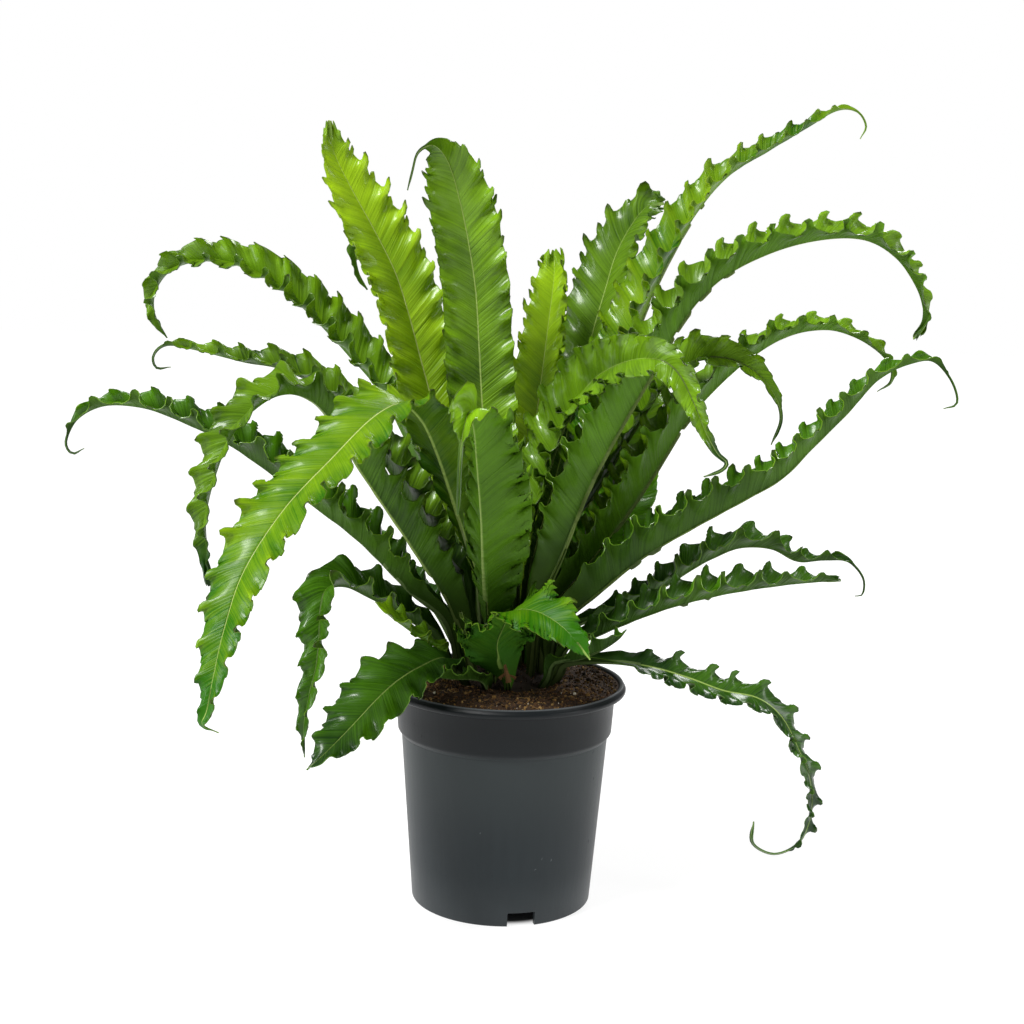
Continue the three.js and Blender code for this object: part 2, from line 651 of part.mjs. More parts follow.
// The five lines of a blade, from edge to edge across the rib, and the sheet between them.
function makeFrond(frond, seed) {
  const rib = new Rib(frond);
  const draw = makeDraw(seed);
  const middle = ribStations(rib);
  const edge = edgeStations(frond, rib, middle);
  const points = [];
  const keels = [];
  const addLine = (places, pointAt) => places.map((s, i) => {
    points.push(pointAt(s, i));
    keels.push(BLADE_THICKNESS / 2);
    return points.length - 1;
  });
  const edgeAt = (half) => (s, i) => {
    const ends = smooth((s - WAVES_START) / WAVES_GROW) * smooth((frond.tail - s) / WAVES_FADE);
    const crest = (i + (half > 0 ? 0 : 1)) % 2 === 0 ? 1 : -1;
    const strength = crest * ends * mix(TOOTH_LEAST, TOOTH_MOST, draw());
    const lift = strength * (TOOTH_LIFT + TOOTH_LIFT_SHARE * halfWidthAt(frond, s));
    return bladePoint(frond, rib, s, half, 1, lift, strength * TOOTH_STRETCH);
  };
  const leftEdge = addLine(edge, edgeAt(-1));
  const leftMiddle = addLine(middle, (s) => bladePoint(frond, rib, s, -1, MIDDLE_REACH, 0, 0));
  const ribLine = addLine(middle, (s) => bladePoint(frond, rib, s, 1, 0, 0, 0));
  const rightMiddle = addLine(middle, (s) => bladePoint(frond, rib, s, 1, MIDDLE_REACH, 0, 0));
  const rightEdge = addLine(edge, edgeAt(1));
  ribLine.forEach((point, i) => {
    keels[point] += RIB_DEPTH * (1 - middle[i]) ** RIB_TAPER;
  });
  const triangles = [
    ...bridge(leftEdge, edge, leftMiddle, middle),
    ...bridge(leftMiddle, middle, ribLine, middle),
    ...bridge(ribLine, middle, rightMiddle, middle),
    ...bridge(rightMiddle, middle, rightEdge, edge),
  ];
  const backs = points.map(() => BLADE_THICKNESS / 2);
  return makePiece(frond.name, thicken(points, triangles, backs, keels), frond.finish);
}

// The crown that the fronds grow from, with a plain hole for each stalk.
function makeCrown() {
  const profile = [
    [0, CROWN_FOOT],
    [CROWN_RADIUS, CROWN_FOOT],
    [CROWN_RADIUS, SOIL_HEAP_HEIGHT],
    [CROWN_RADIUS - CROWN_EDGE[0], CROWN_TOP - CROWN_EDGE[1]],
    [CROWN_RADIUS - CROWN_SHOULDER[0], CROWN_TOP - CROWN_SHOULDER[1]],
    [0, CROWN_TOP],
  ];
  let crown = toSolid(turned(profile, CROWN_SIDES));
  for (const frond of FRONDS) {
    crown = crown.subtract(makeSocket(frond));
  }
  return makePiece('crown', toGeometry(crown), CROWN_FINISH);
}

// The hole that a stalk stands in: as wide and deep as its fold, with a little room.
function makeSocket(frond) {
  const rib = new Rib(frond);
  const foot = rib.frameAt(0);
  const fold = radians(STALK_FOLD);
  const room = BLADE_THICKNESS + FIT_GAP;
  const width = 2 * STALK_HALF_WIDTH * Math.cos(fold) + 2 * room + SOCKET_ROOM;
  const below = RIB_DEPTH + room;
  const above = STALK_HALF_WIDTH * Math.sin(fold) + room + SOCKET_ROOM / 2;
  const hole = new THREE.BoxGeometry(width, above + below, SOCKET_LENGTH);
  hole.translate(0, (above - below) / 2, SOCKET_LENGTH / 2 - SOCKET_DROP);
  const along = foot.side.clone().cross(foot.facing);
  const turn = new THREE.Matrix4().makeBasis(foot.side, foot.facing, along);
  turn.setPosition(foot.centre);
  return toSolid(hole.applyMatrix4(turn));
}

const fern = new THREE.Group();
fern.add(makePot());
fern.add(makeSoil());
fern.add(makeCrown());
FRONDS.forEach((frond, i) => fern.add(makeFrond(frond, i + 1)));

export default fern;
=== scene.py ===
"""Looks for a wavy bird's nest fern in its nursery pot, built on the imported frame.

Blender works in metres, +Z up, with the origin on the pot's axis on the surface that the
pot stands on, and -Y is the front. The plans of the pieces below are in millimetres.
The pot, the soil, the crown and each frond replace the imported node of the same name.
"""

import logging
import math
from dataclasses import dataclass, field
from enum import Enum
from typing import Callable, Sequence

import bpy
import numpy as np
from mathutils import Matrix, Vector, noise

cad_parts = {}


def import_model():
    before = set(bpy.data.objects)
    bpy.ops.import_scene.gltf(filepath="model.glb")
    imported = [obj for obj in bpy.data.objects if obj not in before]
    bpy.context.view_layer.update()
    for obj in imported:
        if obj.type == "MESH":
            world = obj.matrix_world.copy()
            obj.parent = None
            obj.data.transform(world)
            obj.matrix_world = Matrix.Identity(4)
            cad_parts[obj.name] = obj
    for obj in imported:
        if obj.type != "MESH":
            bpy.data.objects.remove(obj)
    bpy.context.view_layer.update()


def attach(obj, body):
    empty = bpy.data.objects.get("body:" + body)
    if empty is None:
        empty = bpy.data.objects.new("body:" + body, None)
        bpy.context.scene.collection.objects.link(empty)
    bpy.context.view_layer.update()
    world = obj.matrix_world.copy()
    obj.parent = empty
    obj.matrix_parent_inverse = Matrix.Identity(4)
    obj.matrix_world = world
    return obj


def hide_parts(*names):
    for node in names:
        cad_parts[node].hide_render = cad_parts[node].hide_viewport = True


LOG = logging.getLogger("fern")
MM = 0.001
MM_PER_METRE = 1000.0
BODY = "root"
BLACK = (0.0, 0.0, 0.0, 1.0)
WHITE = (1.0, 1.0, 1.0, 1.0)


class Kind(Enum):
    """How old a frond is, which sets its finish."""

    MATURE = "frond"
    YOUNG = "frond_young"
    OLD = "frond_old"


class Face(Enum):
    """A side of a blade, in the order of a frond's material slots."""

    UPPER = 0
    UNDER = 1
    RIM = 2


@dataclass(frozen=True)
class FrondPlan:
    """Where a frond stands, how its blade widens and folds, and how it looks.

    The bearing is counted in degrees from +X towards +Y, and ring is the radius of the
    root's ring. Width is half the blade's width at its widest, and tip half of it at the
    tip. Widest, tail and turned are places along the rib, from 0 at the root to 1 at the
    tip: where the blade is widest, where its waves end and where its twist is complete.
    Fold and twist are in degrees. The rib's points are (across, up, back): across and up in
    the upright plane through the pot's foot as the eye sees it, and back behind the axis.
    Tone lightens the blade, and the looks after it scale what every blade has.
    """

    name: str
    bearing: float
    ring: float
    kind: Kind
    width: float
    widest: float
    blunt: float
    tail: float
    fold: float
    rib: tuple[tuple[float, float, float], ...]
    tip: float = 2.0
    twist: float = 0.0
    turned: float = 1.0
    tone: float = 0.4
    curl: float = 0.5
    ruffle: float = 0.35
    wave: float = 1.0
    hooks: float = 1.0
    finer: int = 1
    pleat: float = 0.3
    lobes: float = 1.8
    ribbed: float = 1.0
    gloss: float = 1.0


FRONDS: tuple[FrondPlan, ...] = (
    FrondPlan("left_high", 158, 28, Kind.MATURE, 31, 0.42, 2.6, 0.985, 48,
        ((-38, 300, 42), (-76, 395, 84), (-108, 462, 112), (-142, 503, 124), (-178, 541, 132),
         (-211, 569, 138), (-245, 586, 142), (-281, 590, 144), (-308, 581, 144), (-322, 562, 144),
         (-323, 541, 144), (-311, 518, 144)),
        tip=4, twist=-52, tone=0.5, ruffle=0.7, wave=1.3, lobes=2.7),
    FrondPlan("left_thin", 176, 27, Kind.MATURE, 30, 0.36, 1.5, 0.95, 48,
        ((-46, 290, 4), (-88, 368, 5), (-125, 425, 5), (-160, 465, 5), (-200, 488, 6),
         (-240, 496, 7), (-280, 506, 8), (-310, 511, 8), (-323, 502, 8), (-321, 491, 8),
         (-308, 491, 8)),
        twist=-34, ruffle=0.7, lobes=2.6),
    FrondPlan("left_reach", 188, 35, Kind.OLD, 31, 0.42, 1.6, 0.95, 52,
        ((-52, 252, -10), (-85, 281, -16), (-132, 328, -26), (-180, 365, -34), (-222, 397, -42),
         (-256, 420, -48), (-291, 437, -54), (-330, 452, -58), (-368, 455, -62), (-394, 443, -64),
         (-405, 422, -64), (-400, 411, -64), (-389, 415, -64)),
        twist=-28, tone=0.55, ruffle=0.6, wave=1.15, lobes=2.5),
    FrondPlan("left_loop", 206, 27, Kind.MATURE, 30, 0.3, 2.6, 0.97, 36,
        ((-47, 265, -26), (-80, 320, -42), (-109, 363, -52), (-135, 402, -59), (-156, 438, -64),
         (-179, 461, -75), (-206, 465, -91), (-232, 450, -109), (-250, 429, -122),
         (-264, 398, -132), (-275, 355, -140), (-274, 318, -146), (-271, 290, -148)),
        tip=6, tone=0.45, lobes=2.3),
    FrondPlan("left_bright", 226, 18, Kind.YOUNG, 35, 0.46, 2.8, 0.99, 12,
        ((-16, 270, -20), (-27, 315, -26), (-43, 366, -34), (-58, 410, -44), (-73, 442, -58),
         (-92, 456, -80), (-120, 442, -112), (-158, 404, -152), (-202, 357, -192),
         (-239, 300, -226), (-257, 248, -248), (-267, 205, -262), (-274, 170, -270),
         (-278, 157, -272), (-263, 149, -272)),
        tone=0.22, ruffle=0.6, wave=0.85, lobes=1.0, gloss=0.5),
    FrondPlan("left_droop", 176, 41, Kind.OLD, 27, 0.38, 1.25, 0.99, 36,
        ((-66, 240, 2), (-92, 260, -2), (-120, 275, -8), (-144, 286, -16), (-162, 283, -26),
         (-168, 262, -36), (-169, 236, -44), (-172, 210, -50), (-178, 186, -54), (-183, 158, -56),
         (-183, 126, -56)),
        tone=0.5, lobes=2.4),
    FrondPlan("left_low", 218, 41, Kind.OLD, 32, 0.5, 2.6, 0.99, 12,
        ((-52, 218, -56), (-75, 210, -78), (-96, 197, -97), (-114, 181, -114), (-130, 164, -128),
         (-146, 147, -140), (-163, 130, -152), (-181, 114, -162)),
        tone=0.5, lobes=1.2),
    FrondPlan("left_young", 194, 40, Kind.YOUNG, 19, 0.75, 2.2, 0.99, 16,
        ((-59, 229, -20), (-75, 239, -33), (-90, 249, -46), (-104, 259, -57), (-117, 271, -64)),
        tone=0.5),
    FrondPlan("soil_short", 246, 40, Kind.OLD, 14, 0.45, 2.5, 0.99, 20,
        ((-28, 200, -58), (-46, 200, -68), (-62, 202, -74), (-77, 205, -78)),
        tone=0.8, wave=0.8, lobes=1.0),
    FrondPlan("upright_left", 116, 14, Kind.YOUNG, 35, 0.5, 4.4, 0.985, 16,
        ((-16, 300, 34), (-40, 385, 56), (-60, 445, 70), (-74, 495, 78), (-86, 540, 82),
         (-99, 580, 86), (-119, 620, 90), (-141, 660, 94), (-156, 692, 96), (-161, 718, 96)),
        tip=7, tone=0.62, ruffle=0.6, wave=0.7, hooks=2.4, pleat=0.15),
    FrondPlan("upright_middle", 94, 8, Kind.MATURE, 32, 0.5, 7, 0.92, 14,
        ((-6, 310, 24), (-12, 390, 40), (-17, 455, 50), (-20, 510, 56), (-23, 560, 60),
         (-29, 602, 62), (-37, 642, 62), (-48, 680, 58), (-62, 698, 48), (-77, 692, 38),
         (-83, 673, 32), (-87, 656, 30)),
        tone=0.45, ruffle=0.6, wave=0.7, hooks=3.6, pleat=0.2, lobes=1.5),
    FrondPlan("upright_young", 66, 17, Kind.YOUNG, 27, 0.62, 2.2, 0.997, 20,
        ((14, 310, 46), (28, 400, 76), (38, 475, 96), (45, 530, 108), (50, 570, 116),
         (51, 598, 120)),
        tip=12, tone=0.62, ruffle=0.8, wave=0.8, hooks=2.2, pleat=0.15),
    FrondPlan("upright_right", 54, 25, Kind.MATURE, 35, 0.58, 4, 0.995, 16,
        ((29, 300, 58), (53, 390, 98), (73, 470, 124), (88, 528, 140), (98, 562, 149),
         (108, 595, 156), (122, 622, 159), (137, 640, 157), (152, 642, 149)),
        tip=11, tone=0.28, ruffle=0.5, wave=0.75, hooks=2.4, pleat=0.15, lobes=1.0),
    FrondPlan("right_tall", 34, 20, Kind.YOUNG, 36, 0.5, 1.2, 0.96, 42,
        ((37, 290, 36), (76, 380, 62), (108, 470, 81), (136, 545, 93), (161, 597, 103),
         (187, 639, 111), (215, 670, 118), (250, 692, 125), (283, 712, 132), (314, 730, 138),
         (333, 729, 141), (341, 716, 142), (336, 704, 142)),
        tone=0.12, ruffle=0.6, lobes=1.5),
    FrondPlan("right_high", 330, 21, Kind.MATURE, 39, 0.36, 1.5, 0.99, 48,
        ((37, 262, -21), (60, 318, -29), (86, 382, -36), (115, 437, -39), (146, 490, -40),
         (174, 537, -40), (208, 573, -40), (254, 597, -42), (300, 609, -42), (340, 609, -42),
         (370, 592, -40), (390, 562, -38), (395, 536, -38), (387, 520, -38)),
        tip=5, twist=50, tone=0.5, ruffle=0.7, wave=1.25, lobes=2.0),
    FrondPlan("right_arch", 349, 33, Kind.MATURE, 38, 0.42, 1.1, 0.98, 48,
        ((45, 256, -6), (74, 295, -10), (108, 338, -9), (144, 391, -4), (173, 437, 5),
         (206, 474, 14), (239, 502, 20), (272, 520, 24), (308, 525, 24), (340, 514, 22),
         (362, 495, 20), (364, 478, 18), (352, 468, 16)),
        twist=30, tone=0.6, ruffle=0.7, wave=1.1, lobes=1.7),
    FrondPlan("right_reach", 338, 34, Kind.OLD, 35, 0.32, 1.35, 0.93, 52,
        ((56, 246, -20), (94, 280, -28), (136, 313, -36), (182, 340, -44), (228, 365, -52),
         (264, 386, -56), (293, 415, -60), (325, 447, -62), (353, 478, -64), (379, 492, -66),
         (403, 496, -67), (420, 479, -68), (426, 458, -68), (414, 452, -68)),
        twist=26, tone=0.5, ruffle=0.6, wave=1.1, lobes=1.7),
    FrondPlan("middle_fold", 24, 10, Kind.MATURE, 34, 0.46, 1.5, 0.94, 30,
        ((18, 300, 0), (31, 352, 3), (46, 400, 6), (63, 444, 3), (83, 474, -17), (102, 489, -56),
         (127, 498, -89), (150, 497, -107), (167, 484, -116), (181, 457, -122), (192, 430, -126),
         (203, 410, -128), (212, 401, -129), (206, 393, -130), (190, 388, -130)),
        tone=0.5, curl=0.7, ruffle=1.1, wave=1.05, pleat=0.4, lobes=1.1, gloss=1.8),
    FrondPlan("right_fold", 8, 25, Kind.MATURE, 29, 0.6, 1.5, 0.93, 33,
        ((44, 300, 14), (90, 375, 21), (128, 437, 20), (156, 478, 12), (182, 497, 0),
         (212, 498, -12), (238, 486, -20), (256, 464, -25), (262, 442, -27), (253, 418, -27)),
        twist=24, turned=0.8, tone=0.35, ruffle=0.9, wave=0.9, lobes=1.0),
    FrondPlan("right_low_upper", 10, 37, Kind.OLD, 23, 0.6, 1.0, 0.9, 46,
        ((62, 242, 8), (92, 257, 12), (124, 270, 14), (156, 286, 14), (190, 307, 14),
         (224, 321, 14), (254, 320, 14), (277, 309, 12), (302, 310, 10), (324, 309, 8),
         (338, 294, 6), (338, 279, 6), (331, 277, 6)),
        tone=0.5, lobes=2.3),
    FrondPlan("right_low", 350, 41, Kind.OLD, 24, 0.4, 3, 0.99, 42,
        ((62, 226, -18), (88, 238, -23), (122, 252, -28), (152, 263, -32), (184, 272, -36),
         (222, 280, -39), (270, 287, -42), (315, 291, -44)),
        tip=6, tone=0.5, lobes=2.3),
    FrondPlan("right_droop", 334, 41, Kind.OLD, 16, 0.3, 2.2, 0.87, 12,
        ((62, 212, -22), (100, 215, -28), (140, 210, -30), (175, 200, -31), (208, 188, -32),
         (240, 181, -32), (262, 164, -32), (277, 136, -32), (289, 104, -32), (289, 70, -32),
         (278, 46, -32), (256, 36, -32), (236, 46, -32), (237, 66, -32)),
        twist=58, turned=0.3, tone=0.35, ruffle=0.9, wave=1.3, lobes=2.2, gloss=1.5),
    FrondPlan("front_bright", 272, 37, Kind.YOUNG, 35, 0.38, 1.7, 0.99, 6,
        ((-3, 228, -54), (1, 246, -66), (12, 262, -84), (34, 262, -104), (60, 246, -120),
         (84, 217, -132)),
        twist=75, tone=0.22, ruffle=2.0, wave=1.5, finer=2, pleat=0.1, ribbed=3.0, gloss=0.05),
    FrondPlan("front_coiled", 250, 28, Kind.MATURE, 42, 0.5, 2.6, 0.84, 40,
        ((-11, 250, -50), (-14, 300, -73), (-16, 350, -92), (-20, 400, -108), (-23, 432, -119),
         (-29, 448, -130), (-35, 430, -140), (-38, 400, -144), (-39, 370, -145), (-40, 352, -145)),
        twist=-32, tone=0.72, ruffle=1.3, wave=1.3, pleat=0.5, lobes=1.0, ribbed=2.2),
    FrondPlan("right_short", 318, 40, Kind.OLD, 15, 0.75, 2, 0.99, 30,
        ((52, 214, -38), (74, 218, -48), (94, 226, -56), (110, 236, -62), (118, 245, -64)),
        tip=4),
    FrondPlan("back_left_hook", 136, 23, Kind.MATURE, 15, 0.45, 2.6, 0.97, 34,
        ((-22, 310, 66), (-34, 400, 108), (-56, 470, 138), (-88, 540, 157), (-112, 590, 170),
         (-126, 610, 180), (-135, 598, 188), (-132, 578, 192), (-124, 563, 194)),
        tip=4),
    FrondPlan("back_left_high", 120, 31, Kind.MATURE, 28, 0.45, 1.3, 0.96, 30,
        ((-34, 310, 92), (-56, 395, 150), (-70, 455, 192), (-80, 482, 230), (-86, 476, 260),
         (-90, 440, 276))),
    FrondPlan("back_left_low", 148, 38, Kind.OLD, 18, 0.4, 1.2, 0.97, 34,
        ((-60, 262, 40), (-92, 300, 72), (-128, 342, 106), (-160, 372, 138), (-188, 396, 166),
         (-208, 402, 192))),
    FrondPlan("back_middle", 88, 28, Kind.MATURE, 28, 0.5, 1.5, 0.96, 24,
        ((6, 300, 84), (12, 370, 130), (16, 420, 180), (18, 440, 228), (18, 420, 264),
         (18, 380, 280))),
    FrondPlan("back_right_high", 50, 32, Kind.MATURE, 27, 0.6, 2.2, 0.97, 22,
        ((44, 296, 66), (76, 360, 104), (106, 408, 128), (132, 446, 148), (149, 466, 168),
         (158, 462, 188)),
        tip=4, twist=26, turned=0.9, tone=0.9, wave=0.9, lobes=1.0),
    FrondPlan("back_right_low", 32, 35, Kind.OLD, 31, 0.62, 2.5, 0.98, 20,
        ((58, 276, 36), (84, 312, 56), (106, 346, 72), (126, 378, 84), (137, 404, 92),
         (139, 420, 96)),
        tip=4, twist=42, turned=0.6, tone=0.9, wave=0.9, lobes=1.0),
    FrondPlan("back_low", 106, 39, Kind.OLD, 24, 0.42, 1.3, 0.97, 30,
        ((-14, 258, 88), (-22, 286, 134), (-28, 296, 182), (-30, 278, 226), (-28, 238, 256))),
)


Numbers = np.ndarray | float
Pair = tuple[float, float]


def ease(value: Numbers) -> np.ndarray:
    """Eases from 0 to 1 with a level start and end, and stays there outside that range."""
    held = np.clip(value, 0.0, 1.0)
    return held * held * (3 - 2 * held)


def ease_over(value: Numbers, stretch: Pair) -> np.ndarray:
    """Eases from 0 to 1 over a stretch that is given as its start and its length."""
    start, length = stretch
    return ease((value - start) / length)


def mix(low: Numbers, high: Numbers, share: Numbers) -> np.ndarray:
    """Goes from low to high as share goes from 0 to 1."""
    return low + (high - low) * share


def linear(colour: str) -> tuple[float, float, float, float]:
    """Turns a colour of six hexadecimal digits into scene-linear values with full alpha."""
    parts = [int(colour[i : i + 2], 16) / 255 for i in (0, 2, 4)]
    red, green, blue = [c / 12.92 if c < 0.04045 else ((c + 0.055) / 1.055) ** 2.4 for c in parts]
    return (red, green, blue, 1.0)


class Draw:
    """A repeatable draw between 0 and 1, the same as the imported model's."""

    SPREAD = 7919
    FIRST = 17
    FACTOR = 1103515245
    STEP = 12345
    RANGE = 2147483648

    def __init__(self, seed: int) -> None:
        """Starts the draw from a piece's own number."""
        self.state = seed * self.SPREAD + self.FIRST

    def next(self) -> float:
        """Gives the next number of the draw."""
        self.state = (self.state * self.FACTOR + self.STEP) % self.RANGE
        return self.state / self.RANGE

    def several(self, count: int) -> np.ndarray:
        """Gives the next numbers of the draw together."""
        return np.array([self.next() for _ in range(count)])


@dataclass(frozen=True)
class Eye:
    """The place of the eye that sees the fern, in millimetres, with its dip and its lean."""

    place: tuple[float, float, float] = (1.6, -1515.0, 597.0)
    dip: float = 8.9
    lean: float = 1.5
    lens: float = 59.77
    sensor: float = 36.0
    clip: Pair = (0.05, 60.0)

    def spot(self, across: float, up: float, back: float) -> np.ndarray:
        """Finds the point at a distance back that is seen at a spot of the upright plane.

        Args:
            across: How far right of the pot's foot the spot lies, in millimetres.
            up: How far above the pot's foot the spot lies.
            back: How far behind the pot's axis the point lies.

        Returns:
            The point in millimetres.
        """
        dip, lean = math.radians(self.dip), math.radians(self.lean)
        shift = across * math.cos(lean) - up * math.sin(lean)
        rise = across * math.sin(lean) + up * math.cos(lean)
        spot = np.array([shift, rise * math.sin(dip), rise * math.cos(dip)])
        eye = np.array(self.place)
        return eye + (spot - eye) * (back - eye[1]) / (spot[1] - eye[1])

    def camera(self) -> bpy.types.Object:
        """Makes the scene's camera at the eye, dipped and leaning as the eye is."""
        data = bpy.data.cameras.new("camera")
        data.lens = self.lens
        data.sensor_width = self.sensor
        data.clip_start, data.clip_end = self.clip
        camera = bpy.data.objects.new("camera", data)
        dip, lean = math.radians(self.dip), math.radians(self.lean)
        back = Vector((0, -math.cos(dip), math.sin(dip)))
        right = Vector((1, 0, 0))
        upward = back.cross(right)
        turned_right = right * math.cos(lean) + upward * math.sin(lean)
        turned_up = upward * math.cos(lean) - right * math.sin(lean)
        turn = Matrix((turned_right, turned_up, back)).transposed().to_4x4()
        camera.matrix_world = Matrix.Translation(Vector(self.place) * MM) @ turn
        bpy.context.scene.collection.objects.link(camera)
        bpy.context.scene.camera = camera
        return camera


EYE = Eye()


class Wired:
    """A node's output that Python's operators work on, each by adding a node to its tree."""

    def __init__(self, shader: "Shader", socket: bpy.types.NodeSocket | None) -> None:
        """Keeps the output together with the shader that it belongs to."""
        self.shader = shader
        self.socket = socket

    def __add__(self, other: "Wired | float") -> "Wired":
        """Adds a value."""
        return self.shader.math("ADD", self, other)

    __radd__ = __add__

    def __mul__(self, other: "Wired | float") -> "Wired":
        """Multiplies by a value."""
        return self.shader.math("MULTIPLY", self, other)

    __rmul__ = __mul__

    def __sub__(self, other: "Wired | float") -> "Wired":
        """Takes a value away."""
        return self.shader.math("SUBTRACT", self, other)

    def __rsub__(self, other: "Wired | float") -> "Wired":
        """Is taken away from a value."""
        return self.shader.math("SUBTRACT", other, self)

    def __truediv__(self, other: "Wired | float") -> "Wired":
        """Divides by a value."""
        return self.shader.math("DIVIDE", self, other)

    def __rtruediv__(self, other: "Wired | float") -> "Wired":
        """Divides a value."""
        return self.shader.math("DIVIDE", other, self)

    def __abs__(self) -> "Wired":
        """Drops the sign."""
        return self.shader.math("ABSOLUTE", self)


Given = Wired | float | tuple


class Shader:
    """A material's nodes, made one by one through a single method."""

    def __init__(self, name: str) -> None:
        """Starts an empty node material of that name."""
        self.material = bpy.data.materials.new(name)
        self.material.use_nodes = True
        self.tree = self.material.node_tree
        self.tree.nodes.clear()

    def node(
        self,
        kind: str,
        settings: dict[str, object] | None = None,
        given: dict[str | int, Given] | None = None,
        output: str | int = 0,
    ) -> Wired:
        """Adds one node.

        Args:
            kind: The node's type.
            settings: Its properties, set first. "stops" are a ramp's places and colours.
            given: Values or wired outputs for its input sockets, by name or number.
            output: The output socket to hand back, by name or number.

        Returns:
            The wired output, with no socket where the node has none.
        """
        made = self.tree.nodes.new(kind)
        for name, value in (settings or {}).items():
            if name != "stops":
                setattr(made, name, value)
                continue
            elements = made.color_ramp.elements
            while len(elements) < len(value):
                elements.new(1.0)
            for element, (place, colour) in zip(elements, value):
                element.position = place
                element.color = colour
        for name, value in (given or {}).items():
            if isinstance(value, Wired):
                self.tree.links.new(value.socket, made.inputs[name])
            else:
                made.inputs[name].default_value = value
        return Wired(self, made.outputs[output] if made.outputs else None)

    def math(self, operation: str, *values: Given) -> Wired:
        """Adds a Math node of that operation on those values."""
        return self.node("ShaderNodeMath", {"operation": operation}, dict(enumerate(values)))

    def held(self, value: Wired) -> Wired:
        """Keeps a value between 0 and 1."""
        return self.node("ShaderNodeClamp", {}, {"Value": value})

    def between(self, value: Given, low: float, high: float) -> Wired:
        """Eases from 0 where the value is low to 1 where it is high."""
        given = {"Value": value, "From Min": low, "From Max": high}
        return self.node("ShaderNodeMapRange", {"interpolation_type": "SMOOTHSTEP"}, given)

    def colours(self, first: Given, second: Given, share: Given, blend: str = "MIX") -> Wired:
        """Mixes two colours by a share, or blends the second over the first."""
        settings = {"data_type": "RGBA", "blend_type": blend}
        return self.node("ShaderNodeMix", settings, {0: share, 6: first, 7: second}, 2)

    def ramp(self, value: Given, stops: Sequence[tuple[float, tuple]]) -> Wired:
        """Turns a value into the colours of a ramp."""
        return self.node("ShaderNodeValToRGB", {"stops": stops}, {0: value})

    def place(self, scale: tuple[float, float, float] = (1.0, 1.0, 1.0)) -> Wired:
        """Gives the Object coordinates in metres, stretched where a scale is given."""
        spot = self.node("ShaderNodeTexCoord", output="Object")
        return self.node("ShaderNodeMapping", {}, {"Vector": spot, "Scale": scale})

    def height(self) -> Wired:
        """Gives the height above the ground in metres."""
        spot = self.node("ShaderNodeTexCoord", output="Object")
        return self.node("ShaderNodeSeparateXYZ", {}, {"Vector": spot}, "Z")

    def from_axis(self) -> Wired:
        """Gives the distance from the pot's axis in metres."""
        flat = self.place((1.0, 1.0, 0.0))
        return self.node("ShaderNodeVectorMath", {"operation": "LENGTH"}, {0: flat}, "Value")

    def attribute(self, name: str) -> Wired:
        """Gives a value that the mesh carries at its points."""
        return self.node("ShaderNodeAttribute", {"attribute_name": name}, output="Fac")

    def noise(self, place: Wired, scale: float, detail: float = 3.0, rough: float = 0.5) -> Wired:
        """Gives soft noise in space, centred on a half."""
        given = {"Vector": place, "Scale": scale, "Detail": detail, "Roughness": rough}
        return self.node("ShaderNodeTexNoise", {"noise_dimensions": "3D"}, given)

    def streaks(self, value: Wired, scale: float, detail: float = 2.0) -> Wired:
        """Gives noise along one value, so that it is the same all along a vein."""
        given = {"W": value, "Scale": scale, "Detail": detail, "Roughness": 0.6}
        return self.node("ShaderNodeTexNoise", {"noise_dimensions": "1D"}, given)

    def bump(self, height: Wired, distance: float, under: Wired | None = None) -> Wired:
        """Turns a height into a bent normal, over another one where that is given."""
        given: dict[str | int, Given] = {"Strength": 1.0, "Distance": distance, "Height": height}
        if under is not None:
            given["Normal"] = under
        return self.node("ShaderNodeBump", {}, given)

    def finish(self, given: dict[str | int, Given]) -> bpy.types.Material:
        """Ends the tree in a Principled shader with those inputs, and gives the material."""
        surface = self.node("ShaderNodeBsdfPrincipled", {}, given, "BSDF")
        self.node("ShaderNodeOutputMaterial", {}, {"Surface": surface})
        return self.material


